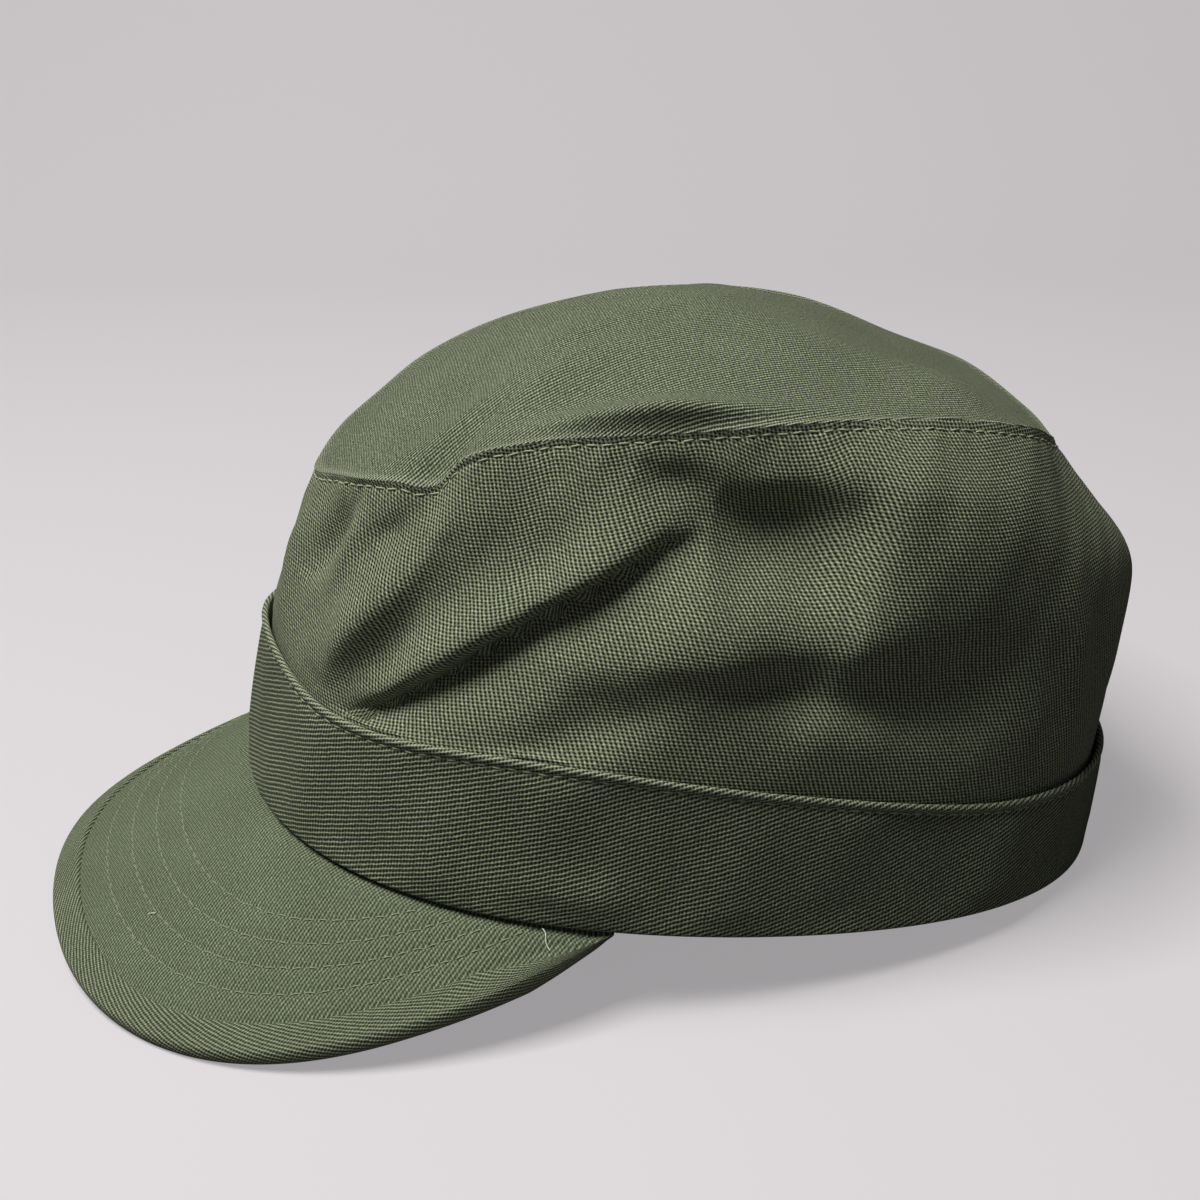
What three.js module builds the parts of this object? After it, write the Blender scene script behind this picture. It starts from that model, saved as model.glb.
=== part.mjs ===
// A soft patrol cap of olive twill, resting on a table on its peak and the back of its band.
// Millimetres, +Z up. The peak points along -Y and the wearer's left is +X.
// Every surface is worked out in the cap's own frame, where the band's lower edge is the plane z = 0
// and angles run from the centre front, 0, over the wearer's left, 90, to the centre back, 180.
// restingPoint then tips the cap back onto the table.
import * as THREE from 'three';

// Driving sizes of the band
const HALF_WIDTH = 77.4;
const HALF_LENGTH = 102;
const SQUARENESS = 0.041;
const BAND_WALL = 1.6;
const BAND_TOP_INWARD = 1.3;
const BAND_EDGE_RAISE = 0.5;
const BAND_EDGE_HEIGHT = 3.5;
const BAND_EDGE_ROUNDING = 0.8;
const BAND_FOOT_ROUNDING = { height: 1, inward: 0.3 };
const BAND_MIDDLE = { share: 0.45, lean: 0.55 };

// Driving sizes of the crown
const CLOTH_WALL = 1.2;
const GAP = 0.3;
const TUCK_DEPTH = 9;
const SHOULDER_SOFTNESS = 0.12;
const BELLY_BIAS = 0.75;
const DOME_CENTRE_Y = -8;
const DOME_TOP = 116.6;
const DOME_SOFTNESS = 0.3;
const DOME_POWER = { mean: 1.62, front: 0.41, left: 0.23 };
const DOME_SEAM_FADE = 8;
const DENT_SEAM_FADE = 24;
const SOFT_SEAM_TURNS = [-24, -16, -8, 0, 8, 16, 24];
const WALL_MM_PER_DEGREE = 1.57;
const WALL_MM_UP = 70;
const FOLD_END_STRENGTH = 0.35;
const SIDE_CHANGE = 0.75;
const NARROWEST_FOLD = 8;

// Driving sizes of the peak
const PEAK_HALF_ANGLE = 70;
const PEAK_FAN = 0.265;
const PEAK_THICKNESS = 2.6;
const PEAK_SEAT_INWARD = 0.8;
const PEAK_LENGTH = { middle: 54.3, side: 35.4, corner: -1.5 };
const PEAK_SLOPE = { middle: 38.1, side: -3.6, corner: -9.5 };
const PEAK_END = 0.998;
const BINDING_WIDTH = 7.6;
const BINDING_WALL = 1.0;
const BINDING_ROUNDNESS = 0.6;
const BINDING_MAX_SHARE = 0.6;
const TONGUE_THICKNESS = 1.5;
const EDGE_MIN_SINE = 0.35;

// How the cap rests: tipped back, and pressed a little so that the cloth is flat where it touches
const REST_PITCH = 8.72;
const REST_LIFT = 14.75;
const REST_BACK = 21.54;

// Mesh fineness
const FINE_SPAN = { from: 18, to: 108, columns: 30 };
const COARSE_COLUMNS = 54;
const PEAK_COLUMNS = 36;
const SIDE_LEVELS = [0, 0.06, 0.13, 0.2, 0.28, 0.36, 0.44, 0.52, 0.6, 0.68, 0.76, 0.84, 0.92];
const TOP_REACHES = [0.97, 0.93, 0.88, 0.78, 0.64, 0.48, 0.3, 0];
const PEAK_SHARES = [0.75, 0.5, 0.25, 0];
const BINDING_TURNS = [-90, -45, 0, 45, 90];
const SMALL_STEP = 1e-3;
const SMALL_TURN = 0.1;

const toRadians = degrees => degrees * Math.PI / 180;

// Reads a table: the first argument names its columns
function table(names, rows) {
  const columns = names.split(' ');
  return rows.map(row => Object.fromEntries(columns.map((name, i) => [name, row[i]])));
}

// Height of the band's upper edge over its lower edge
const BAND_HEIGHTS = table('angle height', [
  [0, 35.8],
  [30, 32.2],
  [60, 35.7],
  [90, 32.4],
  [120, 26.6],
  [150, 25.5],
  [180, 26.5],
  [210, 25.5],
  [240, 26.6],
  [270, 32.4],
  [300, 35.7],
  [330, 32.2],
]);

// Sections of the side wall round the head. seam_inward is how far the top seam lies inside the band's
// outline, seam_height its height, shoulder the share of the wall's height where it starts to lean in,
// and belly how far its middle swells.
const CROWN_SECTIONS = table('angle seam_inward seam_height shoulder belly', [
  [0, 9.7, 72.6, 0.02, 0.8],
  [12, 10.8, 76.4, 0.02, 0.8],
  [24, 10.4, 80.2, 0.02, 0.7],
  [30, 12.3, 81.7, 0.02, 0.6],
  [34.5, 14.6, 81.9, 0.03, 0.5],
  [37, 15.4, 83.4, 0.04, 0.5],
  [40, 15.7, 88.7, 0.05, 0.5],
  [43.5, 16.5, 91.7, 0.05, 0.5],
  [48, 17.6, 94.1, 0.05, 0.5],
  [54, 18.5, 96.8, 0.05, 0.5],
  [62, 18.5, 99.4, 0.05, 0.5],
  [75, 18.4, 103.0, 0.05, 0.5],
  [90, 19.4, 106.1, 0.06, 0.5],
  [97, 20.4, 106.6, 0.18, 0.5],
  [105, 21.3, 106.6, 0.38, 0.6],
  [120, 20.0, 104.8, 0.60, 0.6],
  [135, 25.0, 99.0, 0.66, 0.5],
  [150, 28.0, 95.5, 0.68, 0.5],
  [180, 28.3, 95.0, 0.55, 0.6],
  [210, 26.7, 99.0, 0.57, 0.9],
  [230, 22.6, 100.7, 0.51, 1.6],
  [250, 14.0, 105.0, 0.40, 1.8],
  [270, 11.0, 103.0, 0.30, 2.3],
  [290, 12.0, 96.0, 0.25, 2.4],
  [310, 14.0, 86.0, 0.20, 1.9],
  [322, 14.5, 79.2, 0.14, 1.4],
  [332, 13.4, 75.2, 0.09, 1.0],
  [348, 11.6, 72.0, 0.04, 0.8],
]);

// Folds of the side wall. Each runs from one place to another, given by its angle and its share of the
// wall's height. rise is how far it stands out, or in where negative; width_over and width_under are its
// reach above and below its line.
const WALL_FOLDS = table('name angle_1 up_1 angle_2 up_2 rise width_over width_under', [
  ['main_crease', 72, 0.68, 27, 0.00, -11.0, 4, 10],
  ['main_ridge', 66, 0.74, 38, 0.28, 5.0, 15, 6],
  ['seam_dimple', 74, 0.90, 78, 0.82, -4.0, 3.5, 5],
  ['upper_hollow', 77, 0.75, 96, 0.73, -8.0, 7, 15],
  ['side_bulge', 66, 0.39, 94, 0.45, 6.0, 14, 6],
  ['lower_hollow', 70, 0.29, 94, 0.33, -4.0, 5, 8],
  ['lower_hollow_front', 56, 0.06, 70, 0.29, -3.0, 5, 7],
  ['corner_ridge', 37, 0.85, 25, 0.28, 3.4, 7, 5],
  ['corner_valley', 42, 0.76, 29, 0.22, -2.0, 5, 5],
  ['corner_groove', 31, 0.90, 28, 0.60, -1.6, 3, 4],
  ['front_valley', 22, 0.94, 15, 0.38, -2.4, 4, 5],
  ['front_ridge', 27, 0.92, 23, 0.42, 1.6, 4, 4],
  ['centre_ridge', 6, 0.95, 2, 0.45, 1.6, 5, 6],
  ['back_corner', 136, 0.86, 150, 0.70, 2.6, 8, 9],
  ['back_pleat', 126, 0.62, 133, 0.22, 1.2, 5, 5],
  ['rear_hollow', 172, 0.80, 190, 0.45, -2.6, 12, 14],
  ['far_back_corner', 214, 0.80, 224, 0.66, 2.0, 10, 10],
  ['far_hollow', 258, 0.80, 282, 0.62, -2.8, 9, 12],
  ['far_bulge', 262, 0.46, 284, 0.36, 2.2, 12, 12],
  ['far_valley', 296, 0.74, 322, 0.16, -3.4, 6, 9],
  ['far_ridge', 302, 0.86, 322, 0.36, 2.6, 8, 6],
  ['far_front_valley', -20, 0.86, -13, 0.34, -1.8, 6, 6],
]);

// Dents of the top panel, by their place in plan, reach along and across their own line, the line's turn
// from +X, and rise
const TOP_DENTS = table('name x y reach_along reach_across turn rise', [
  ['jog_ridge', 28, -59, 18, 7, 108, 2.2],
  ['jog_hollow', 21, -73, 11, 6, 108, -1.6],
  ['back_dip', -6, 42, 22, 11, 120, -1.8],
  ['back_swell', 36, 38, 12, 9, 140, 1.4],
  ['far_dip', -44, -18, 24, 12, 100, -2.2],
]);

// Where the top panel's cloth hangs over its seam: the middle of the place and its reach round the cap in
// degrees, its distance inside the seam, its reach across, and how far it moves out and up
const HANGING_FOLD = { angle: 66, reachRound: 14, inside: 6, reachAcross: 4.5, out: 5.5, up: 3 };

// Smooth closed curve through one column of a table, read at an angle
function around(rows, column, angle) {
  const count = rows.length;
  const turn = ((angle % 360) + 360) % 360;
  const wrapped = k => rows[((k % count) + count) % count];
  const knot = k => wrapped(k).angle + 360 * Math.floor(k / count);
  const value = k => wrapped(k)[column];
  const step = k => knot(k + 1) - knot(k);
  const slope = k => (value(k + 1) - value(k)) / step(k);
  const tangent = k => (slope(k - 1) * step(k) + slope(k) * step(k - 1)) / (step(k - 1) + step(k));
  let i = count - 1;
  while (i > 0 && knot(i) > turn) i -= 1;
  const t = (turn - knot(i)) / step(i);
  const start = (2 * t ** 3 - 3 * t ** 2 + 1) * value(i) + (t ** 3 - 2 * t ** 2 + t) * step(i) * tangent(i);
  const end = (3 * t ** 2 - 2 * t ** 3) * value(i + 1) + (t ** 3 - t ** 2) * step(i) * tangent(i + 1);
  return start + end;
}

// The band's outline: an ellipse with slightly squared shoulders
function outline(angle) {
  const a = toRadians(angle);
  const square = 1 + SQUARENESS * (1 - Math.cos(4 * a)) / 2;
  return new THREE.Vector3(HALF_WIDTH * Math.sin(a) * square, -HALF_LENGTH * Math.cos(a) * square, 0);
}

function outlineNormal(angle) {
  const along = outline(angle + SMALL_STEP).sub(outline(angle - SMALL_STEP));
  return new THREE.Vector3(along.y, -along.x, 0).normalize();
}

function inside(angle, inward, height) {
  return outline(angle).addScaledVector(outlineNormal(angle), -inward).setZ(height);
}

const bandHeight = angle => around(BAND_HEIGHTS, 'height', angle);

// The same angle between -180 and 180
const halfTurn = angle => ((angle + 180) % 360 + 360) % 360 - 180;

const onWall = (angle, up) => new THREE.Vector2(angle * WALL_MM_PER_DEGREE, up * WALL_MM_UP);

const bell = distance => Math.exp(-(distance ** 2));

// How far the folds move the side wall outwards at a place. A fold too narrow for the columns is widened.
function foldRise(angle, up) {
  let rise = 0;
  for (const fold of WALL_FOLDS) {
    const along = onWall(fold.angle_2 - fold.angle_1, fold.up_2 - fold.up_1);
    const from = onWall(halfTurn(angle - fold.angle_1), up - fold.up_1);
    const share = THREE.MathUtils.clamp(from.dot(along) / along.lengthSq(), 0, 1);
    const away = from.addScaledVector(along, -share);
    const distance = Math.max(away.length(), SMALL_STEP);
    const overShare = THREE.MathUtils.clamp(0.5 + SIDE_CHANGE * away.y / distance, 0, 1);
    const reach = THREE.MathUtils.lerp(fold.width_under, fold.width_over, overShare);
    const width = Math.max(reach, NARROWEST_FOLD);
    const fade = FOLD_END_STRENGTH + (1 - FOLD_END_STRENGTH) * Math.sin(Math.PI * share);
    rise += fold.rise * fade * bell(distance / width);
  }
  return rise;
}

// Outer face of the side wall: up runs from 0 at the band's edge to 1 at the top seam
function wallPoint(angle, up) {
  const shoulder = around(CROWN_SECTIONS, 'shoulder', angle);
  const lean = q => (q - shoulder) + Math.hypot(q - shoulder, SHOULDER_SOFTNESS);
  const leaned = (lean(up) - lean(0)) / (lean(1) - lean(0));
  const foot = BAND_TOP_INWARD + BAND_WALL + GAP;
  const seamInward = around(CROWN_SECTIONS, 'seam_inward', angle);
  const swell = Math.sin(Math.PI * Math.min(up, 1) ** BELLY_BIAS);
  const belly = around(CROWN_SECTIONS, 'belly', angle) * swell;
  const folds = foldRise(angle, up) * Math.sqrt(Math.max(swell, 0));
  const low = bandHeight(angle);
  const high = around(CROWN_SECTIONS, 'seam_height', angle);
  return inside(angle, foot + (seamInward - foot) * leaned - belly - folds, low + (high - low) * up);
}

// How far the dents move the top panel up at a place in plan
function dentRise(x, y) {
  const middle = new THREE.Vector2();
  let rise = 0;
  for (const dent of TOP_DENTS) {
    const away = new THREE.Vector2(x - dent.x, y - dent.y).rotateAround(middle, -toRadians(dent.turn));
    rise += dent.rise * Math.exp(-((away.x / dent.reach_along) ** 2) - (away.y / dent.reach_across) ** 2);
  }
  return rise;
}

// The seam's height averaged over the angles round one angle: the dome follows this, and only its rim
// follows the seam's own steps
function softSeamHeight(angle) {
  let sum = 0;
  for (const turn of SOFT_SEAM_TURNS) sum += around(CROWN_SECTIONS, 'seam_height', angle + turn);
  return sum / SOFT_SEAM_TURNS.length;
}

// Outer face of the top panel: reach runs from 0 at the top of the dome to 1 at the seam
function topPoint(angle, reach) {
  const seam = wallPoint(angle, 1);
  const a = toRadians(angle);
  const power = DOME_POWER.mean + DOME_POWER.front * Math.cos(a) + DOME_POWER.left * Math.sin(a);
  const fall = q => (q * q + DOME_SOFTNESS ** 2) ** (power / 2);
  const share = (fall(reach) - fall(0)) / (fall(1) - fall(0));
  const soft = softSeamHeight(angle);
  const x = seam.x * reach;
  const y = DOME_CENTRE_Y + (seam.y - DOME_CENTRE_Y) * reach;
  const loose = 1 - reach ** DENT_SEAM_FADE;
  const fromSeam = (1 - reach) * Math.hypot(seam.x, seam.y - DOME_CENTRE_Y);
  const hang = loose * bell(halfTurn(angle - HANGING_FOLD.angle) / HANGING_FOLD.reachRound)
    * bell((fromSeam - HANGING_FOLD.inside) / HANGING_FOLD.reachAcross);
  const rise = (seam.z - soft) * reach ** DOME_SEAM_FADE + dentRise(x, y) * loose;
  const place = new THREE.Vector3(x, y, DOME_TOP + (soft - DOME_TOP) * share + rise + HANGING_FOLD.up * hang);
  return place.addScaledVector(outlineNormal(angle), HANGING_FOLD.out * hang);
}

// Outward normal of a face worked out by a function of angle and one other share
function faceNormal(face, angle, share, sense) {
  const next = Math.min(share + SMALL_STEP, 1);
  const last = Math.max(share - SMALL_STEP, 0);
  const round = face(angle + SMALL_TURN, share).sub(face(angle - SMALL_TURN, share));
  const across = face(angle, next).sub(face(angle, last));
  return round.cross(across).multiplyScalar(sense).normalize();
}

// Directions at the top seam, where the two cloths are mitred: inward runs to the mitre's inner corner,
// and part runs from the side wall's rim to the top panel's
function seamMitre(angle) {
  const side = faceNormal(wallPoint, angle, 1, 1);
  const top = faceNormal(topPoint, angle, 1, -1);
  const middle = side.clone().add(top).normalize();
  return {
    inward: middle.clone().multiplyScalar(-CLOTH_WALL / middle.dot(side)),
    part: top.sub(side).normalize(),
  };
}

// Tips a point of the cap's frame back onto the table and flattens what would lie under it
function restingPoint(point) {
  const a = toRadians(REST_PITCH);
  const y = point.y * Math.cos(a) + point.z * Math.sin(a) + REST_BACK;
  const z = point.z * Math.cos(a) - point.y * Math.sin(a) + REST_LIFT;
  return new THREE.Vector3(point.x, y, Math.max(z, 0));
}

// Closed wall between two grids of points, outer[row][column] and inner[row][column]. Rows go up the outer
// face and columns go round it. A ring joins its last column to its first.
function closedWall(outer, inner, ring) {
  const positions = [];
  const triangles = [];
  const known = new Map();
  const index = point => {
    const rested = restingPoint(point);
    const key = rested.toArray().map(value => value.toFixed(4)).join(' ');
    if (!known.has(key)) {
      known.set(key, positions.length / 3);
      positions.push(rested.x, rested.y, rested.z);
    }
    return known.get(key);
  };
  const triangle = (a, b, c) => {
    if (a !== b && b !== c && c !== a) triangles.push(a, b, c);
  };
  const quad = (a, b, c, d) => {
    const corners = [a, b, c, d].map(index);
    triangle(corners[0], corners[1], corners[2]);
    triangle(corners[0], corners[2], corners[3]);
  };
  const rows = outer.length;
  const columns = outer[0].length;
  const spans = ring ? columns : columns - 1;
  for (let c = 0; c < spans; c += 1) {
    const n = (c + 1) % columns;
    for (let r = 0; r < rows - 1; r += 1) {
      quad(outer[r][c], outer[r][n], outer[r + 1][n], outer[r + 1][c]);
      quad(inner[r][n], inner[r][c], inner[r + 1][c], inner[r + 1][n]);
    }
    quad(inner[0][c], inner[0][n], outer[0][n], outer[0][c]);
    quad(outer[rows - 1][c], outer[rows - 1][n], inner[rows - 1][n], inner[rows - 1][c]);
  }
  if (!ring) {
    const end = columns - 1;
    for (let r = 0; r < rows - 1; r += 1) {
      quad(inner[r][0], outer[r][0], outer[r + 1][0], inner[r + 1][0]);
      quad(outer[r][end], inner[r][end], inner[r + 1][end], outer[r + 1][end]);
    }
  }
  const geometry = new THREE.BufferGeometry();
  geometry.setAttribute('position', new THREE.Float32BufferAttribute(positions, 3));
  geometry.setIndex(triangles);
  geometry.computeVertexNormals();
  return geometry;
}

// Angles of the columns round the cap, closer together where the side wall is folded most
function columnAngles() {
  const { from, to, columns } = FINE_SPAN;
  const fine = Array.from({ length: columns }, (_, i) => from + (to - from) * i / columns);
  const rest = 360 - (to - from);
  const coarse = Array.from({ length: COARSE_COLUMNS }, (_, i) => to + rest * i / COARSE_COLUMNS);
  return [...fine, ...coarse];
}

const ringAngles = columnAngles();

// The band: a folded strip with a slightly raised upper edge
function bandGeometry() {
  const levels = table('share over inward', [
    [0, 0, BAND_FOOT_ROUNDING.inward],
    [0, BAND_FOOT_ROUNDING.height, 0],
    [BAND_MIDDLE.share, 0, BAND_MIDDLE.lean * BAND_TOP_INWARD],
    [1, -BAND_EDGE_HEIGHT, BAND_TOP_INWARD],
    [1, -BAND_EDGE_ROUNDING, BAND_TOP_INWARD - BAND_EDGE_RAISE],
    [1, 0, BAND_TOP_INWARD],
  ]);
  const rows = wall => levels.map(level => ringAngles.map(angle => {
    const height = bandHeight(angle) * level.share + level.over;
    return inside(angle, wall > 0 ? wall + BAND_TOP_INWARD * level.share : level.inward, height);
  }));
  return closedWall(rows(0), rows(BAND_WALL), true);
}

// The side wall: its foot is tucked inside the band, and its upper rim is mitred at the top seam
function crownSideGeometry() {
  const foot = BAND_TOP_INWARD + BAND_WALL + GAP;
  const outer = [ringAngles.map(angle => inside(angle, foot, bandHeight(angle) - TUCK_DEPTH))];
  const inner = [ringAngles.map(angle => inside(angle, foot + CLOTH_WALL, bandHeight(angle) - TUCK_DEPTH))];
  for (const up of SIDE_LEVELS) {
    outer.push(ringAngles.map(angle => wallPoint(angle, up)));
    inner.push(ringAngles.map(angle => {
      const normal = up > 0 ? faceNormal(wallPoint, angle, up, 1) : outlineNormal(angle);
      return wallPoint(angle, up).addScaledVector(normal, -CLOTH_WALL);
    }));
  }
  const rim = ringAngles.map(angle => {
    const mitre = seamMitre(angle);
    const edge = wallPoint(angle, 1).addScaledVector(mitre.part, -GAP / 2);
    return { edge, corner: edge.clone().add(mitre.inward) };
  });
  outer.push(rim.map(place => place.edge));
  inner.push(rim.map(place => place.corner));
  return closedWall(outer, inner, true);
}

// The top panel: a dome from the seam up to its highest place
function crownTopGeometry() {
  const rim = ringAngles.map(angle => {
    const mitre = seamMitre(angle);
    const edge = wallPoint(angle, 1).addScaledVector(mitre.part, GAP / 2);
    return { edge, corner: edge.clone().add(mitre.inward) };
  });
  const outer = [rim.map(place => place.edge)];
  const inner = [rim.map(place => place.corner)];
  for (const reach of TOP_REACHES) {
    outer.push(ringAngles.map(angle => topPoint(angle, reach)));
    inner.push(ringAngles.map(angle => {
      const normal = reach > 0 ? faceNormal(topPoint, angle, reach, -1) : new THREE.Vector3(0, 0, 1);
      return topPoint(angle, reach).addScaledVector(normal, -CLOTH_WALL);
    }));
  }
  return closedWall(outer, inner, true);
}

// The peak is ruled: straight lines run forward and down from its seat under the band. side is -1 at the
// right corner, 0 in the middle and 1 at the left corner, and out is 0 at the seat and 1 at the free edge.
function peakLine(side) {
  const angle = side * PEAK_HALF_ANGLE;
  const heading = toRadians(angle * PEAK_FAN);
  const slope = toRadians(PEAK_SLOPE.middle + PEAK_SLOPE.side * side ** 2 + PEAK_SLOPE.corner * side ** 4);
  const forward = new THREE.Vector3(Math.sin(heading), -Math.cos(heading), 0);
  const direction = forward.clone().multiplyScalar(Math.cos(slope)).setZ(-Math.sin(slope));
  const normal = forward.clone().multiplyScalar(Math.sin(slope)).setZ(Math.cos(slope));
  const length = (PEAK_LENGTH.middle + PEAK_LENGTH.side * side ** 2 + PEAK_LENGTH.corner * side ** 4)
    * Math.sqrt(1 - side ** 2);
  const seatDrop = GAP + normal.z * PEAK_THICKNESS / 2;
  return { start: inside(angle, PEAK_SEAT_INWARD, -seatDrop), direction, normal, length };
}

const peakMiddle = (side, out) => {
  const line = peakLine(side);
  return line.start.addScaledVector(line.direction, line.length * out);
};

// Share of the line's length at a distance from the free edge, measured square to that edge
function outAtInset(side, inset) {
  const line = peakLine(side);
  const edge = peakMiddle(side + SMALL_STEP, 1).sub(peakMiddle(side - SMALL_STEP, 1)).normalize();
  const square = Math.max(line.direction.clone().cross(edge).length(), EDGE_MIN_SINE);
  const narrowing = Math.min(1, BINDING_MAX_SHARE * line.length * square / (BINDING_WIDTH + GAP));
  return 1 - narrowing * inset / (line.length * square);
}

const peakSides = Array.from({ length: PEAK_COLUMNS + 1 }, (_, i) =>
  PEAK_END * Math.sin(Math.PI * (i / PEAK_COLUMNS - 0.5)));

function peakFace(side, out, rise) {
  return peakMiddle(side, out).addScaledVector(peakLine(side).normal, rise);
}

// The peak: a board covered in cloth, thinner where the binding is folded over it
function peakGeometry() {
  const face = sense => {
    const at = (inset, thickness) => peakSides.map(side =>
      peakFace(side, outAtInset(side, inset), sense * thickness / 2));
    const tongue = BINDING_WALL + GAP;
    const step = BINDING_WIDTH + GAP;
    const rows = [at(tongue, TONGUE_THICKNESS), at(step, TONGUE_THICKNESS)];
    rows.push(at(step + SMALL_STEP, PEAK_THICKNESS));
    for (const share of PEAK_SHARES) {
      rows.push(peakSides.map(side => {
        const out = outAtInset(side, step) * share;
        return peakFace(side, out, sense * PEAK_THICKNESS / 2);
      }));
    }
    return rows;
  };
  return closedWall(face(1), face(-1), false);
}

// The binding: a strip folded round the peak's free edge, as a channel that the peak's tongue stands in
function bindingGeometry() {
  const channel = (half, start, bow) => {
    const rows = [];
    rows.push(peakSides.map(side => peakFace(side, outAtInset(side, BINDING_WIDTH), -half)));
    for (const turn of BINDING_TURNS) {
      const inset = start + bow * (1 - Math.cos(toRadians(turn)));
      const rise = half * Math.sin(toRadians(turn));
      rows.push(peakSides.map(side => peakFace(side, outAtInset(side, inset), rise)));
    }
    rows.push(peakSides.map(side => peakFace(side, outAtInset(side, BINDING_WIDTH), half)));
    return rows;
  };
  const innerHalf = TONGUE_THICKNESS / 2 + GAP;
  const outerHalf = innerHalf + BINDING_WALL;
  const outside = channel(outerHalf, 0, outerHalf * BINDING_ROUNDNESS);
  return closedWall(outside, channel(innerHalf, BINDING_WALL, 0), false);
}

function clothMaterial(color, roughness) {
  return new THREE.MeshStandardMaterial({ color, roughness, metalness: 0, side: THREE.FrontSide });
}

const cap = new THREE.Group();
const pieces = [
  ['crown_top', crownTopGeometry(), clothMaterial('#4c5a41', 0.92)],
  ['crown_side', crownSideGeometry(), clothMaterial('#46543c', 0.92)],
  ['band', bandGeometry(), clothMaterial('#414f39', 0.92)],
  ['peak', peakGeometry(), clothMaterial('#435039', 0.9)],
  ['peak_binding', bindingGeometry(), clothMaterial('#3f4c36', 0.9)],
];
for (const [name, geometry, material] of pieces) {
  const mesh = new THREE.Mesh(geometry, material);
  mesh.name = name;
  cap.add(mesh);
}

export default cap;
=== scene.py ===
"""A soft patrol cap of olive twill, resting on a pale floor on its peak and the back of its band.

Every surface is worked out in the cap's own frame, in millimetres: the band's lower edge is the plane z = 0,
the peak points along -Y, the wearer's left is +X, and angles run from the centre front, 0, over the wearer's
left, 90, to the centre back, 180. rested() then tips the cap back onto the floor.
"""

import math

import bpy
import numpy as np
from mathutils import Matrix, Vector


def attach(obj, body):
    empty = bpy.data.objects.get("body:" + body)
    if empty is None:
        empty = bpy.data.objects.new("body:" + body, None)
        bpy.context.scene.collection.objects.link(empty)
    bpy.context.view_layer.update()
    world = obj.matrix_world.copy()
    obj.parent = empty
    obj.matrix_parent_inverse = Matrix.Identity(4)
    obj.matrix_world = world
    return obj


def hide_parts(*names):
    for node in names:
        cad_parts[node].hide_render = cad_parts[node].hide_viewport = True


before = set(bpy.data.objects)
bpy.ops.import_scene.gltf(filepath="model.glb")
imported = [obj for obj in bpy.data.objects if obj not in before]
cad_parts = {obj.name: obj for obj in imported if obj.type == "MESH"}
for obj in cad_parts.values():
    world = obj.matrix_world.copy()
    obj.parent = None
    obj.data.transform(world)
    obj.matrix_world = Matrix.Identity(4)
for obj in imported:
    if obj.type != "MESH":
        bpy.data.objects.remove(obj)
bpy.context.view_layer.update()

# Sizes of the band. Its edge rows are distances under the upper edge, its turns are degrees of a rounded
# edge, and its worn rows, painted pale partly as wear and partly as a painted highlight, are counted from
# where the upper edge starts to turn. A field, here and below, is the evenly spaced rows of a mesh between
# its edges.
HALF_WIDTH = 77.4
HALF_LENGTH = 102
SQUARENESS = 0.041
BAND_WALL = 1.6
BAND_TOP_INWARD = 1.3
BAND_EDGE_RAISE = 0.55
BAND_EDGE_MIDDLE = 0.9
BAND_EDGE_REACH = 0.9
BAND_EDGE_RADIUS = 0.75
BAND_EDGE_TURNS = (25, 50, 75, 100, 125, 150, 175)
BAND_EDGE_ROWS = (4.4, 3.8, 3.3, 2.9, 2.5, 2.1, 1.7, 1.3, BAND_EDGE_RADIUS)
BAND_FIELD_TOP = 5
BAND_FIELD_ROWS = 26
BAND_STITCH_DEPTH = 2.3
BAND_FOOT_RADIUS = 0.8
BAND_FOOT_TURNS = (90, 60, 30)
BAND_INNER_TOP = 4
BAND_INNER_SHARES = (0.6, 0.3, 0)
BAND_WORN_HIGHLIT_ROWS = (-2, 6)

# Sizes of the crown. Its seam rows are distances from the top seam, and its inner steps say that each inner
# face has only every so many of the outer one's rows.
CLOTH_WALL = 1.2
GAP = 0.3
TUCK_DEPTH = 9
SHOULDER_SOFTNESS = 0.12
BELLY_BIAS = 0.75
DOME_CENTRE_Y = -8
DOME_TOP = 116.6
DOME_SOFTNESS = 0.3
DOME_POWER = {"mean": 1.62, "front": 0.41, "left": 0.23}
DOME_SEAM_FADE = 8
DENT_SEAM_FADE = 24
SOFT_SEAM_TURNS = [-24, -16, -8, 0, 8, 16, 24]
WALL_MM_PER_DEGREE = 1.57
WALL_MM_UP = 70
FOLD_END_STRENGTH = 0.35
SIDE_CHANGE = 0.75
FOLD_ROUNDING = 0.7
SIDE_ROWS = 110
SIDE_ROWS_POWER = 0.9
SIDE_SEAM_ROWS = np.array([0.6, 1.0, 1.4, 1.8, 2.2, 2.7, 3.3, 4.0, 4.8])
SIDE_INNER_STEP = 8
TOP_RADIUS = 75
TOP_SEAM_ROWS = np.array([0, 0.3, 0.7, 1.2, 1.8, 2.5, 3.3])
TOP_FIELD = 0.945
TOP_FIELD_ROWS = 84
TOP_INNER_STEP = 7
TOP_NEAR_SEAM = 0.99

# Sizes of the peak and its binding
PEAK_HALF_ANGLE = 70
PEAK_FAN = 0.265
PEAK_THICKNESS = 2.6
PEAK_SEAT_INWARD = 0.8
PEAK_TURNED_IN = 1.6
PEAK_TURNED_UP = 4
SEAT_DIP = 1.0
SEAT_DIP_REACH = 1.8
PEAK_LENGTH = {"middle": 54.3, "side": 35.4, "corner": -1.5}
PEAK_SLOPE = {"middle": 38.1, "side": -3.6, "corner": -9.5}
PEAK_END = 0.9999
PEAK_STITCH_INSETS = [15.1, 22.0, 28.7, 35.4]
PEAK_TOP_ROWS = 110
PEAK_UNDER_ROWS = 16
BINDING_WIDTH = 7.6
BINDING_COVER = 0.4
BINDING_WALL = 1.0
BINDING_ROUNDNESS = 0.6
BINDING_FOLD_ROWS = 15
BINDING_CORNER = 0.7
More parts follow.
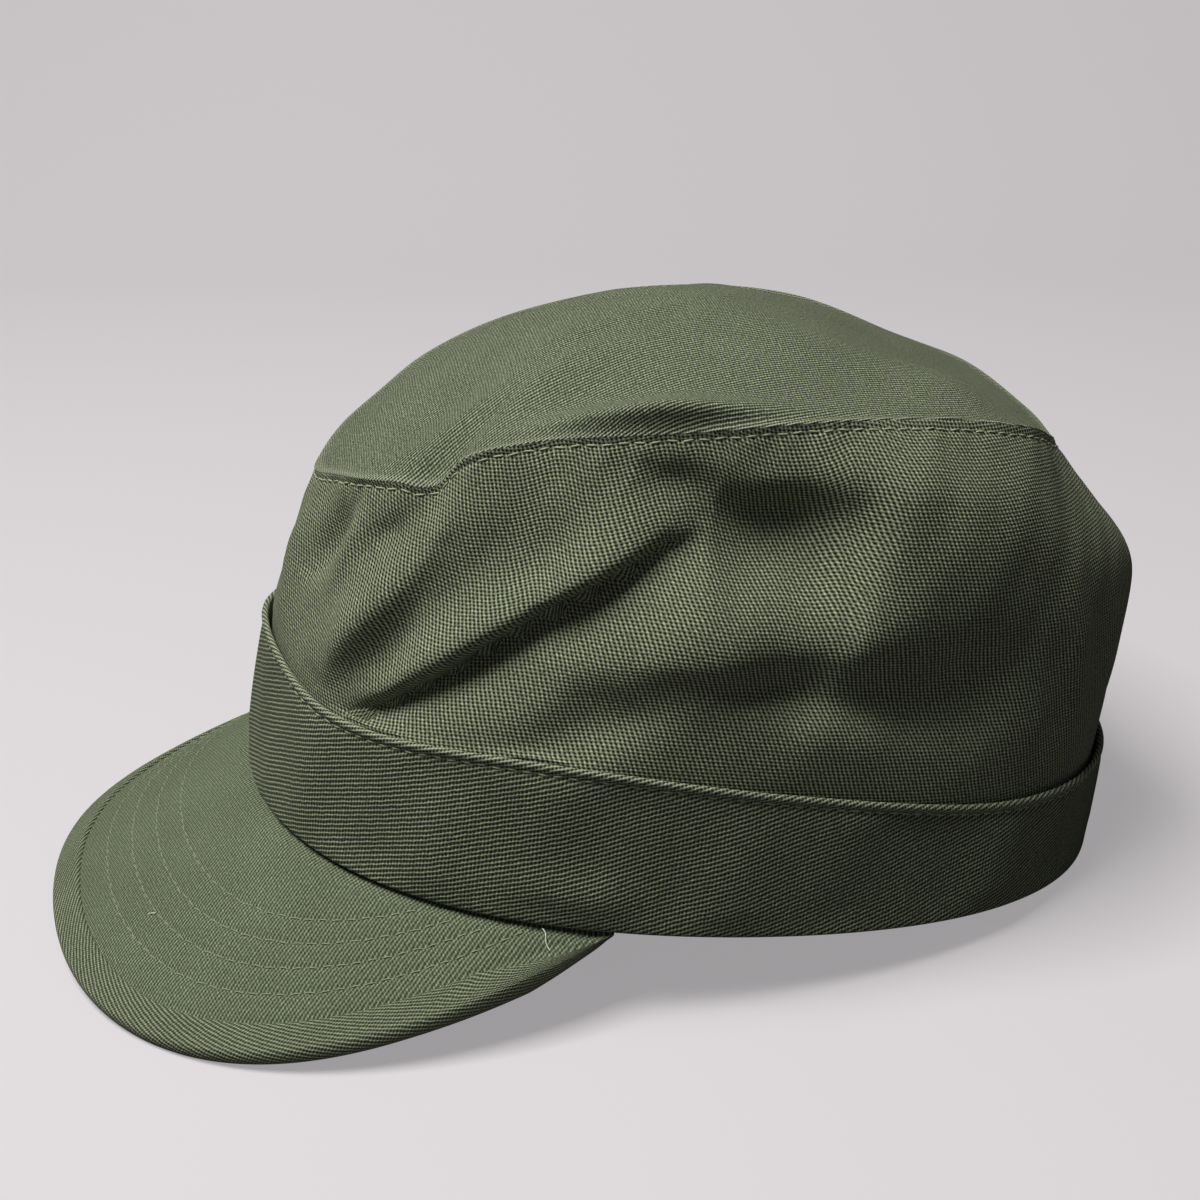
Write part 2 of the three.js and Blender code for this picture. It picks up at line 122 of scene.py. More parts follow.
BINDING_CHAMFER_IN = 0.25
BINDING_CHAMFER_DOWN = 0.2
BINDING_UNDER_INSETS = (5.1, 4)
BINDING_MAX_SHARE = 0.6
TONGUE_THICKNESS = 1.5
EDGE_MIN_SINE = 0.35
CORNER_TAPER = 0.05

# How the cap rests: tipped back, and pressed a little so that the cloth is flat where it touches
REST_PITCH = 8.72
REST_LIFT = 14.75
REST_BACK = 21.54

# Thread. A stitch arches over the cloth by STITCH_ARCH radii less STITCH_SUNK, and thins to the root of
# STITCH_TIP at its ends.
STITCH_PITCH = 3.15
STITCH_LENGTH = 2.55
STITCH_STATIONS = 7
STITCH_ARCH = 1.6
STITCH_SUNK = 0.5
STITCH_TIP = 0.04
THREAD_RADIUS = 0.2
THREAD_TILT = 0.13
THREAD_WANDER = 0.08
TILT_RATE = 5.1
WANDER_RATE = 2.7
THREAD_SIDES = 6
BAND_STITCH_SINK = 0.1
SEAM_STITCH_POINTS = 2400
BAND_STITCH_POINTS = 3000
PEAK_STITCH_POINTS = 1600
PEAK_STITCH_SIDE = 0.98
PEAK_STITCH_START = 0.02
PEAK_THREAD_RADIUS = 0.16
LOOSE_RADIUS = 0.13
LOOSE_STATIONS = 15
LOOSE_LIFT = 0.12
LOOSE_LIFT_TURN = 0.8
LOOSE_CURL = 0.05
LOOSE_ENDS = [(0.890, 0.02, 0.949, 0.286), (0.271, 0.598, 0.264, 0.625)]

# Weave. The ribs' distances are real ones in mm, read from the photograph, and the other yarn's distance is
# a share of them. A wave texture's stripes are WAVE_UNIT over its scale apart, noise is read between
# NOISE_LOW and NOISE_HIGH, and the fibres' and the dye's scales are for each millimetre of cloth.
WAVE_UNIT = math.pi / 10
WAVE_WANDER = {"Distortion": 1.2, "Detail": 1.0, "Detail Scale": 1.4, "Detail Roughness": 0.5}
FINE_RIB = 0.8
COARSE_RIB = 0.97
CROSS_SHARE = 0.8
CROSS_TURN = 70
BEAD_SHARE = 0.2
SIDE_RIB_TURN = -66
BAND_RIB_TURN = 22
TOP_RIB_TURN = -76
PEAK_RIB_TURN = -58
BINDING_RIB_TURN = -18
RIB_RELIEF = 0.2
PIT_SHARPNESS = 2.2
FIBRE_SCALE = 1.7
DYE_SCALE = 0.05
DYE_LOW = 0.93
DYE_HIGH = 1.06
NOISE_DETAIL = 3.0
NOISE_LOW = 0.3
NOISE_HIGH = 0.7
THREAD_FLECKS_PER_METRE = 1500.0
SHEEN = "#c3c9ae"
# Pale bloom of the edges: partly wear, partly a painted highlight that keeps them light where they lie in
# shade
WORN_HIGHLIGHT_COLOUR = "#b9c1a6"
CLOTH_FINISH = {"Roughness": 0.9, "Specular IOR Level": 0.2, "Sheen Weight": 0.12, "Sheen Roughness": 0.45}
THREAD_FINISH = {"Roughness": 0.7, "Specular IOR Level": 0.3}
FLOOR_FINISH = {"Roughness": 0.8, "Specular IOR Level": 0.2}

# Needlework. A reach is the distance from its middle at which a roll, groove or pucker has fallen to 1 / e.
PUCKERS_ROUND = 61
PUCKER_SIZE = 0.14
PUCKER_DEPTH = 3.2
PUCKER_REACH = 2.2
PUCKER_SWAY = 1.5
SWAYS_ROUND = 17
SEAM_STITCH_DEPTH = 1.5
SEAM_GROOVE = 0.2
SIDE_GROOVE_REACH = 0.6
TOP_GROOVE_INWARD = 2.4
TOP_GROOVE_REACH = 1.0
SEAM_ROLL_RADIUS = 0.4
SEAM_ROLL_TURNS = (120, 90, 60, 35, 15)
SIDE_ROLL_REACH = 0.9
TOP_ROLL_RISE = 0.5
TOP_ROLL_REACH = 1.1
BAND_GROOVE = 0.3
BAND_GROOVE_REACH = 0.8
QUILT_DEPTH = 0.25
QUILT_REACH = 1.0
BINDING_QUILT_REACH = 1.2
SEAM_STEP = (40.3, 42.9)
# How pale the seam, band and binding edges are painted, partly as wear and partly as a painted highlight
SEAM_WEAR_HIGHLIGHT = 0.9
SIDE_WEAR_HIGHLIGHT_REACH = 0.9
TOP_WEAR_HIGHLIGHT_REACH = 1.0
BAND_WEAR_HIGHLIGHT = 0.6
BINDING_WEAR_HIGHLIGHT = 0.15
BINDING_WEAR_HIGHLIGHT_REACH = 1.2

# How the ripples die out: over this many mm from an edge, or over a share of the wall or the dome
SIDE_SEAM_CALM = 8
SIDE_FOOT_CALM = 1 / 5
TOP_SEAM_CALM = 20
TOP_MIDDLE_CALM = 1 / 2
BAND_CALM = 6

# Camera and light. The places of the lights and the floor's sizes are in metres.
CAMERA_TURN = 72.0
CAMERA_RISE = 21.07
CAMERA_ROLL = 7.94
CAMERA_ACROSS = -17.83
CAMERA_UP = 40.88
CAMERA_DISTANCE = 472.9
FOCAL_PIXELS = 1942.3
PHOTO_PIXELS = 1200
CAMERA_FOCUS = FOCAL_PIXELS / PHOTO_PIXELS
SENSOR_WIDTH = 36
FLOOR_LENGTH = 0.55
FLOOR_BEND = 0.5
FLOOR_BEND_ROWS = 24
FLOOR_REACH = 6.0
BACKDROP_HEIGHT = 3.0
LIGHT_TARGET = (0, 0, 0.07)
KEY_PLACE = (0.12, -0.42, 1.16)
KEY_SIZE = 0.6
KEY_POWER = 16.5
FILL_PLACE = (1.2, -0.6, 0.5)
FILL_SIZE = 0.8
FILL_POWER = 0.5
WORLD_STRENGTH = 0.08
FLOOR_GLOW = 0.34

# Mesh fineness
COLUMNS = 640
PEAK_COLUMNS = 280

MM = 0.001
WELD_DIGITS = 4
SMALL_STEP = 1e-3
SMALL_TURN = 0.1
SHARP_EDGE = 60


def table(names, rows):
    """Columns of a table as arrays, by name."""
    return {name: np.array(column) for name, column in zip(names.split(), zip(*rows))}


# Height of the band's upper edge over its lower edge
BAND_HEIGHTS = table("angle height", [
    (0, 35.8),
    (30, 32.2),
    (60, 35.7),
    (90, 32.4),
    (120, 26.6),
    (150, 25.5),
    (180, 26.5),
    (210, 25.5),
    (240, 26.6),
    (270, 32.4),
    (300, 35.7),
    (330, 32.2),
])

# Sections of the side wall round the head. seam_inward is how far the top seam lies inside the band's
# outline, seam_height its height, shoulder the share of the wall's height where it starts to lean in,
# and belly how far its middle swells.
CROWN_SECTIONS = table("angle seam_inward seam_height shoulder belly", [
    (0, 9.7, 72.6, 0.02, 0.8),
    (12, 10.8, 76.4, 0.02, 0.8),
    (24, 10.4, 80.2, 0.02, 0.7),
    (30, 12.3, 81.7, 0.02, 0.6),
    (34.5, 14.6, 81.9, 0.03, 0.5),
    (37, 15.4, 83.4, 0.04, 0.5),
    (40, 15.7, 88.7, 0.05, 0.5),
    (43.5, 16.5, 91.7, 0.05, 0.5),
    (48, 17.6, 94.1, 0.05, 0.5),
    (54, 18.5, 96.8, 0.05, 0.5),
    (62, 18.5, 99.4, 0.05, 0.5),
    (75, 18.4, 103.0, 0.05, 0.5),
    (90, 19.0, 106.3, 0.20, 0.5),
    (97, 18.8, 107.2, 0.70, 0.4),
    (105, 19.2, 107.4, 0.78, 0.4),
    (120, 19.6, 105.0, 0.76, 0.4),
    (135, 25.0, 99.0, 0.66, 0.5),
    (150, 28.0, 95.5, 0.68, 0.5),
    (180, 28.3, 95.0, 0.55, 0.6),
    (210, 26.7, 99.0, 0.57, 0.9),
    (230, 22.6, 100.7, 0.51, 1.6),
    (250, 14.0, 105.0, 0.40, 1.8),
    (270, 11.0, 103.0, 0.30, 2.3),
    (290, 12.0, 96.0, 0.25, 2.4),
    (310, 14.0, 86.0, 0.20, 1.9),
    (322, 14.5, 79.2, 0.14, 1.4),
    (332, 13.4, 75.2, 0.09, 1.0),
    (348, 11.6, 72.0, 0.04, 0.8),
])

# Folds of the side wall. Each runs from one place to another, given by its angle and its share of the
# wall's height. rise is how far it stands out, or in where negative; width_over and width_under are its
# reach above and below its line; power is 2 for a soft fold and near 1 for a sharp one.
WALL_FOLDS = table("name angle_1 up_1 angle_2 up_2 rise width_over width_under power", [
    ("main_crease", 70.5, 0.675, 26, -0.08, -9.5, 1.8, 9, 1.1),
    ("main_ridge", 69, 0.71, 57, 0.51, 3.2, 7, 2.5, 2),
    ("main_ridge_low", 58, 0.50, 33, 0.11, 2.0, 7, 3.5, 2),
    ("ridge_hollow", 60, 0.70, 46, 0.50, -2.4, 11, 6, 2),
    ("seam_dimple", 65, 0.90, 76, 0.82, -5.0, 4, 6, 2),
    ("upper_roll", 76, 0.87, 112, 0.87, 3.0, 8, 5, 2),
    ("upper_hollow", 76, 0.735, 92, 0.71, -9.0, 6.5, 14, 2),
    ("side_bulge", 62, 0.33, 93, 0.43, 7.0, 15, 8, 2),
    ("lower_hollow", 70, 0.32, 112, 0.22, -4.0, 10, 5, 2),
    ("lower_hollow_front", 52, -0.13, 70, 0.20, -4.0, 7, 5, 2),
    ("back_hollow", 102, 0.36, 122, 0.38, -2.5, 8, 12, 2),
    ("corner_ridge", 38, 0.74, 24, 0.14, 4.0, 9, 4, 2),
    ("corner_valley", 46, 0.66, 32, 0.14, -1.8, 7, 6, 2),
    ("corner_groove", 33, 0.88, 28, 0.72, -2.4, 4, 5, 2),
    ("front_valley", 22.5, 0.97, 12, 0.48, -4.0, 8, 3.5, 2),
    ("front_ridge", 26, 0.90, 19, 0.42, 1.4, 4, 4, 2),
    ("centre_ridge", 6, 0.95, 2, 0.45, 1.6, 5, 6, 2),
    ("back_corner", 136, 0.86, 150, 0.70, 2.6, 8, 9, 2),
    ("back_pleat", 126, 0.62, 133, 0.22, 1.2, 5, 5, 2),
    ("rear_hollow", 172, 0.80, 190, 0.45, -2.6, 12, 14, 2),
    ("far_back_corner", 214, 0.80, 224, 0.66, 2.0, 10, 10, 2),
    ("far_hollow", 258, 0.80, 282, 0.62, -2.8, 9, 12, 2),
    ("far_bulge", 262, 0.46, 284, 0.36, 2.2, 12, 12, 2),
    ("far_valley", 296, 0.74, 322, 0.16, -3.4, 6, 9, 2),
    ("far_ridge", 302, 0.86, 322, 0.36, 2.6, 8, 6, 2),
    ("far_front_valley", -20, 0.86, -13, 0.34, -1.8, 6, 6, 2),
])

# Dents of the top panel, by their place in plan, reach along and across their own line, the line's turn
# from +X, and rise
TOP_DENTS = table("name x y reach_along reach_across turn rise", [
    ("jog_ridge", 28, -59, 18, 7, 108, 2.2),
    ("jog_hollow", 21, -73, 11, 6, 108, -1.6),
    ("back_dip", -6, 42, 22, 11, 120, -1.8),
    ("back_swell", 36, 38, 12, 9, 140, 1.4),
    ("far_dip", -44, -18, 24, 12, 100, -2.2),
])

# Where the top panel's cloth hangs over its seam: the middle of the place and its reach round the cap in
# degrees, its distance inside the seam, its reach across, and how far it moves out and up
HANGING_FOLD = {"angle": 66, "reach_round": 14, "inside": 4.5, "reach_across": 4.5, "out": 5.5, "up": 5}

# Where the peak's corner pushes the band out a little: the middle of the place as an angle and a distance
# under the band's upper edge, its reach round the cap in degrees and downwards, and how far it stands out
BAND_BUMP = {"angle": 65, "reach_round": 8, "down": 28, "reach_down": 5, "out": 1.3}

# How far the binding's upper side swells at each distance from the peak's free edge
BINDING_SWELL = table("inset swell", [
    (2.2, 0.0),
    (3.2, 0.05),
    (4.4, 0.1),
    (5.4, 0.1),
    (6.2, 0.05),
])

# Small ripples: how many go round the cap, the height over which each slants by one wave, its place and
# its size
WALL_RIPPLES = table("round up_mm phase size", [
    (9, 90, 0.4, 0.45),
    (16, -55, 2.1, 0.30),
    (27, 38, 4.4, 0.16),
    (46, -24, 1.2, 0.08),
])
TOP_RIPPLES = table("round up_mm phase size", [
    (5, 80, 1.4, 0.35),
    (9, -52, 3.3, 0.22),
    (15, 34, 0.6, 0.10),
])
BAND_RIPPLES = table("round up_mm phase size", [
    (11, 120, 2.6, 0.45),
    (19, -80, 0.9, 0.30),
    (31, 60, 5.0, 0.12),
])


def stacked(*parts):
    """Arrays of x, y and z as places."""
    return np.stack(np.broadcast_arrays(*parts), -1)


def unit(vectors):
    """Vectors of length one."""
    return vectors / np.maximum(np.linalg.norm(vectors, axis=-1, keepdims=True), 1e-12)


def bell(distance, middle, width):
    """A bell curve of height one."""
    return np.exp(-(((distance - middle) / width) ** 2))


def around(rows, column, angle):
    """Smooth closed curve through one column of a table, read at an angle: cubic between two rows, with each
    row's slope the mean of its neighbours' slopes weighted by their nearness."""
    knots = rows["angle"].astype(float)
    values = rows[column].astype(float)
    step = np.diff(np.append(knots, knots[0] + 360))
    slope = (np.roll(values, -1) - values) / step
    before = np.roll(step, 1)
    tangent = (np.roll(slope, 1) * step + slope * before) / (before + step)
    turn = np.mod(angle, 360)
    i = np.searchsorted(knots, turn, side="right") - 1
    n = (i + 1) % len(knots)
    t = (turn - knots[i]) / step[i]
    start = (2 * t**3 - 3 * t**2 + 1) * values[i] + (t**3 - 2 * t**2 + t) * step[i] * tangent[i]
    end = (3 * t**2 - 2 * t**3) * values[n] + (t**3 - t**2) * step[i] * tangent[n]
    return start + end


def outline(angle):
    """The band's outline in plan: an ellipse whose shoulders are pushed out by a wave of four periods."""
    a = np.radians(angle)
    square = 1 + SQUARENESS * (1 - np.cos(4 * a)) / 2
    return stacked(HALF_WIDTH * np.sin(a) * square, -HALF_LENGTH * np.cos(a) * square, 0.0)


def outline_normal(angle):
    """Outward direction square to the outline."""
    along = outline(angle + SMALL_STEP) - outline(angle - SMALL_STEP)
    return unit(stacked(along[..., 1], -along[..., 0], 0.0))


def inside(angle, inward, height):
    """The place that far inside the outline, and that high."""
    angle, inward, height = np.broadcast_arrays(angle, inward, height)
    place = outline(angle) - outline_normal(angle) * inward[..., None]
    place[..., 2] = height
    return place


def band_height(angle):
    """Height of the band's upper edge."""
    return around(BAND_HEIGHTS, "height", angle)


def ripple(waves, angle, height):
    """Sum of slanting waves round the cap: each turns with the angle and slants with the height."""
    rise = 0.0
    for turns, slant, phase, size in zip(*waves.values()):
        rise = rise + size * np.sin(np.radians(turns * angle) + phase + 2 * np.pi * height / slant)
    return rise


def half_turn(angle):
    """The same angle between -180 and 180."""
    return np.mod(angle + 180, 360) - 180


def fold_rise(folds, angle, up):
    """How far the folds move the side wall outwards. Each falls off from its line as e to minus a power of
    the distance over its reach, which is another above the line than under it. The distance is the root of
    its square and FOLD_ROUNDING's, so that no line is a knife edge. Each fold is weaker towards its ends."""
    rise = np.zeros(np.broadcast(angle, up).shape)
    for _, angle_1, up_1, angle_2, up_2, height, over, under, power in zip(*folds.values()):
        along_x = (angle_2 - angle_1) * WALL_MM_PER_DEGREE
        along_y = (up_2 - up_1) * WALL_MM_UP
        from_x = half_turn(angle - angle_1) * WALL_MM_PER_DEGREE
        from_y = (up - up_1) * WALL_MM_UP
        share = (from_x * along_x + from_y * along_y) / (along_x**2 + along_y**2)
        share = np.clip(share, 0, 1)
        away_x = from_x - along_x * share
        away_y = from_y - along_y * share
        away = np.sqrt(away_x**2 + away_y**2 + FOLD_ROUNDING**2)
        over_share = np.clip(0.5 + SIDE_CHANGE * away_y / away, 0, 1)
        width = under + (over - under) * over_share
        fade = FOLD_END_STRENGTH + (1 - FOLD_END_STRENGTH) * np.sin(np.pi * share)
        rise += height * fade * np.exp(-((away / width) ** power))
    return rise


def wall_point(angle, up):
    """Outer face of the side wall, up from 0 at the band's edge to 1 at the top seam. The wall stands
    straight up to its shoulder, then leans in; its belly and its folds are added outwards."""
    shoulder = around(CROWN_SECTIONS, "shoulder", angle)

    def lean(q):
        """Nought under the shoulder and a straight slope over it, with a soft bend between."""
        return (q - shoulder) + np.hypot(q - shoulder, SHOULDER_SOFTNESS)

    leaned = (lean(up) - lean(0)) / (lean(1) - lean(0))
    foot = BAND_TOP_INWARD + BAND_WALL + GAP
    seam_inward = around(CROWN_SECTIONS, "seam_inward", angle)
    swell = np.maximum(np.sin(np.pi * np.clip(up, 0, 1) ** BELLY_BIAS), 0)
    belly = around(CROWN_SECTIONS, "belly", angle) * swell
    folds = fold_rise(WALL_FOLDS, angle, up) * np.sqrt(swell)
    low = band_height(angle)
    high = around(CROWN_SECTIONS, "seam_height", angle)
    return inside(angle, foot + (seam_inward - foot) * leaned - belly - folds, low + (high - low) * up)


def dent_rise(dents, x, y):
    """How far the dents move the top panel up: each is a bell curve along and across its own line."""
    rise = np.zeros(np.broadcast(x, y).shape)
    for _, dent_x, dent_y, reach_along, reach_across, turn, height in zip(*dents.values()):
        a = np.radians(turn)
        along = (x - dent_x) * np.cos(a) + (y - dent_y) * np.sin(a)
        across = (y - dent_y) * np.cos(a) - (x - dent_x) * np.sin(a)
        rise += height * np.exp(-((along / reach_along) ** 2) - (across / reach_across) ** 2)
    return rise


def soft_seam_height(angle):
    """The seam's height averaged over the angles round one angle."""
    heights = [around(CROWN_SECTIONS, "seam_height", angle + turn) for turn in SOFT_SEAM_TURNS]
    return sum(heights) / len(heights)


def mm_from_seam(seam, reach):
    """Distance in plan of a place of the top panel from the seam, straight towards the dome's centre."""
    return (1 - reach) * np.hypot(seam[..., 0], seam[..., 1] - DOME_CENTRE_Y)


def top_point(angle, reach):
    """Outer face of the top panel, reach from 0 at the top of the dome to 1 at the seam. The dome falls as a
    softened power of the reach, to the seam's averaged height, and only its rim follows the seam's steps.
    Dents are added upwards, and a bell curve round the cap and across the rim moves the hanging fold out
    and up."""
    seam = wall_point(angle, 1.0)
    a = np.radians(angle)
    power = DOME_POWER["mean"] + DOME_POWER["front"] * np.cos(a) + DOME_POWER["left"] * np.sin(a)

    def fall(q):
        """A power of the reach, softened so that the top of the dome is round."""
        return (q * q + DOME_SOFTNESS**2) ** (power / 2)

    share = (fall(reach) - fall(0)) / (fall(1) - fall(0))
    soft = soft_seam_height(angle)
    x = seam[..., 0] * reach
    y = DOME_CENTRE_Y + (seam[..., 1] - DOME_CENTRE_Y) * reach
    loose = 1 - reach**DENT_SEAM_FADE
    hang = loose * bell(half_turn(angle - HANGING_FOLD["angle"]), 0, HANGING_FOLD["reach_round"])
    hang = hang * bell(mm_from_seam(seam, reach), HANGING_FOLD["inside"], HANGING_FOLD["reach_across"])
    rise = (seam[..., 2] - soft) * reach**DOME_SEAM_FADE + dent_rise(TOP_DENTS, x, y) * loose
    place = stacked(x, y, DOME_TOP + (soft - DOME_TOP) * share + rise + HANGING_FOLD["up"] * hang)
    return place + outline_normal(angle) * (HANGING_FOLD["out"] * hang)[..., None]


def face_normal(face, angle, share):
    """Direction square to a face of an angle and a share, from a small step of each."""
    round_step = face(angle + SMALL_TURN, share) - face(angle - SMALL_TURN, share)
    up_step = face(angle, share + SMALL_STEP) - face(angle, share - SMALL_STEP)
    return unit(np.cross(round_step, up_step))


def top_normal(angle, reach):
    """Upward direction square to the top panel."""
    return -face_normal(top_point, angle, np.maximum(reach, 2 * SMALL_STEP))


def side_face(angle, up):
    """The side wall as it shows: pushed out in a small roll at the seam, drawn in along the seam's stitches
    and puckered a little under them, each a bell curve of the distance from the seam. The puckers are a wave
    round the cap that a slower wave sways. Ripples run all over and die out at both edges."""
    drop = around(CROWN_SECTIONS, "seam_height", angle) - band_height(angle)
    below = (1 - up) * drop
    sway = PUCKER_SWAY * np.sin(np.radians(angle * SWAYS_ROUND))
    pucker = np.sin(np.radians(angle * PUCKERS_ROUND) + sway)
    calm = np.clip(np.minimum(up / SIDE_FOOT_CALM, below / SIDE_SEAM_CALM), 0, 1)
    rise = ripple(WALL_RIPPLES, angle, up * drop) * calm
    rise += PUCKER_SIZE * pucker * bell(below, PUCKER_DEPTH, PUCKER_REACH)
    rise += SEAM_ROLL_RADIUS * bell(below, 0, SIDE_ROLL_REACH)
    rise -= SEAM_GROOVE * bell(below, SEAM_STITCH_DEPTH, SIDE_GROOVE_REACH)
    return wall_point(angle, up) + face_normal(wall_point, angle, up) * rise[..., None]


def top_face(angle, reach):
    """The top panel as it shows: raised where it rolls over at the seam, drawn in half as deep as the seam's
    groove behind the roll, and rippled slightly between the rim and the middle."""
    inward = mm_from_seam(wall_point(angle, 1.0), reach)
    calm = np.clip(inward / TOP_SEAM_CALM, 0, 1) * np.clip(reach / TOP_MIDDLE_CALM, 0, 1)
    rise = ripple(TOP_RIPPLES, angle, inward) * calm
    rise += TOP_ROLL_RISE * bell(inward, 0, TOP_ROLL_REACH)
    rise -= SEAM_GROOVE / 2 * bell(inward, TOP_GROOVE_INWARD, TOP_GROOVE_REACH)
    return top_point(angle, reach) + top_normal(angle, reach) * rise[..., None]


def corner_taper(side):
    """Share of the peak's thickness: it runs out at the two corners as the root of the distance from them."""
    return np.sqrt(np.clip((1 - side**2) / CORNER_TAPER, 0, 1))


def peak_line(side):
    """One straight line of the peak, from its seat under the band to its free edge: where it starts, its
    direction, the direction square to it, and its length. side is -1 at the right corner, 0 in the middle and
    1 at the left corner. The lines fan out, and their slope and length change as even powers of side."""
    angle = side * PEAK_HALF_ANGLE
    heading = np.radians(angle * PEAK_FAN)
    slope = PEAK_SLOPE["middle"] + PEAK_SLOPE["side"] * side**2 + PEAK_SLOPE["corner"] * side**4
    slope = np.radians(slope)
    ahead_x, ahead_y = np.sin(heading), -np.cos(heading)
    direction = stacked(ahead_x * np.cos(slope), ahead_y * np.cos(slope), -np.sin(slope))
    normal = stacked(ahead_x * np.sin(slope), ahead_y * np.sin(slope), np.cos(slope))
    length = PEAK_LENGTH["middle"] + PEAK_LENGTH["side"] * side**2 + PEAK_LENGTH["corner"] * side**4
    length = length * np.sqrt(np.maximum(1 - side**2, 0))
    seat_drop = GAP + normal[..., 2] * PEAK_THICKNESS / 2 * corner_taper(side)
    return inside(angle, PEAK_SEAT_INWARD, -seat_drop), direction, normal, length


def peak_middle(side, out):
    """The peak's middle surface: out is 0 at the seat and 1 at the free edge."""
    start, direction, _, length = peak_line(side)
    return start + direction * (length * out)[..., None]


def edge_squareness(side):
    """Sine of the angle between a line of the peak and its free edge."""
    direction = peak_line(side)[1]
    edge = unit(peak_middle(side + SMALL_STEP, 1.0) - peak_middle(side - SMALL_STEP, 1.0))
    return np.maximum(np.linalg.norm(np.cross(direction, edge), axis=-1), EDGE_MIN_SINE)


def out_at_inset(side, inset):
    """Share of a line's length at a distance from the free edge, measured square to that edge. On the short
    lines near the corners the distance shrinks, so that the binding covers at most its share of them."""
    length = peak_line(side)[3] * edge_squareness(side)
    narrowing = np.minimum(1, BINDING_MAX_SHARE * length / (BINDING_WIDTH + GAP))
    return 1 - narrowing * inset / length


def peak_face(side, out, rise):
    """A place of the peak raised over its middle surface, by less where its two corners taper off."""
    return peak_middle(side, out) + peak_line(side)[2] * (rise * corner_taper(side))[..., None]


def quilting(inset):
    """How far the peak's cloth stands over its board: a bell curve draws it down at each row of stitches and
    at the binding."""
    rise = sum(-QUILT_DEPTH * bell(inset, row, QUILT_REACH) for row in PEAK_STITCH_INSETS)
    return rise - QUILT_DEPTH * bell(inset, BINDING_WIDTH + GAP, BINDING_QUILT_REACH)


def rested(places):
    """Places of the cap's frame, tipped back onto the floor and given in metres. What would lie under the
    floor is flattened onto it."""
    a = math.radians(REST_PITCH)
    y = places[..., 1] * math.cos(a) + places[..., 2] * math.sin(a) + REST_BACK
    z = places[..., 2] * math.cos(a) - places[..., 1] * math.sin(a) + REST_LIFT
    return stacked(places[..., 0], y, np.maximum(z, 0)) * MM


def lengths_down(places):
    """Distance along each column of a grid from its first row."""
    steps = np.linalg.norm(np.diff(places, axis=0), axis=-1)
    return np.concatenate([np.zeros((1, places.shape[1])), np.cumsum(steps, 0)])


def lengths_round(places):
    """Distance along one row of places from its first."""
    return lengths_down(places[:, None])[:, 0]


def link(name, mesh, material, node=None):
    """Makes the object of a finished mesh. It rides on the frame, and stands for its CAD node if it has
    one."""
    mesh.materials.append(material)
    piece = bpy.data.objects.new(name, mesh)
    bpy.context.scene.collection.objects.link(piece)
    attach(piece, "root")
    if node:
        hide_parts(node)


def grid_mesh(name, places, cloth, wear_and_highlight):
    """A smooth closed strip over places[row, column]. cloth[row, column], the place on the flat cloth in mm,
    is its UV map, and its last argument, from 0 to 1 for each row, says how pale each row is painted, partly
    as wear and partly as a painted highlight. Places that coincide are one vertex, and quads that shrink to a
    line are left out."""
    rows, columns = places.shape[:2]
    r, c = np.meshgrid(np.arange(rows), np.arange(columns - 1), indexing="ij")
    n = (r + 1) % rows
    corners = np.stack([r * columns + c, r * columns + c + 1, n * columns + c + 1, n * columns + c], -1)
    corners = corners.reshape(-1, 4)
    shown = rested(places).reshape(-1, 3)
    keys = np.round(shown / MM, WELD_DIGITS)
    first, welded = np.unique(keys, axis=0, return_index=True, return_inverse=True)[1:]
    points = welded.reshape(-1)[corners]
    new = points != np.roll(points, 1, 1)
    whole = (new.sum(1) == 4) & (points[:, 0] != points[:, 2]) & (points[:, 1] != points[:, 3])
    faces = points[whole].tolist()
    used = list(corners[whole].ravel())
    for quad, quad_points, keep in zip(corners[~whole], points[~whole], new[~whole]):
        if keep.sum() == 3 and len(set(quad_points[keep])) == 3:
            faces.append(quad_points[keep].tolist())
            used.extend(quad[keep])
    mesh = bpy.data.meshes.new(name)
    mesh.from_pydata(shown[first].tolist(), [], faces)
    layer = mesh.uv_layers.new(name="cloth")
    layer.data.foreach_set("uv", cloth.reshape(-1, 2)[used].astype(np.float32).ravel())
    # Mask of the pale edges: partly wear, partly a painted highlight
    worn_highlit = mesh.attributes.new("wear_and_highlight", "FLOAT", "POINT")
    worn_highlit.data.foreach_set("value", np.repeat(wear_and_highlight, columns)[first].astype(np.float32))
    mesh.polygons.foreach_set("use_smooth", np.ones(len(faces), bool))
    mesh.set_sharp_from_angle(angle=math.radians(SHARP_EDGE))
    return mesh


def turns_round():
    """Angles round the cap, starting and ending at the wearer's right, where the UV maps have their seam."""
    return np.linspace(-90, 270, COLUMNS + 1)


def wrapped_cloth(angle, places):
    """Places on the flat cloth of a strip that goes round the cap: along the outline and across the strip."""
    up_mm = lengths_down(places)
    return np.stack([np.broadcast_to(lengths_round(outline(angle)), up_mm.shape), up_mm], -1)


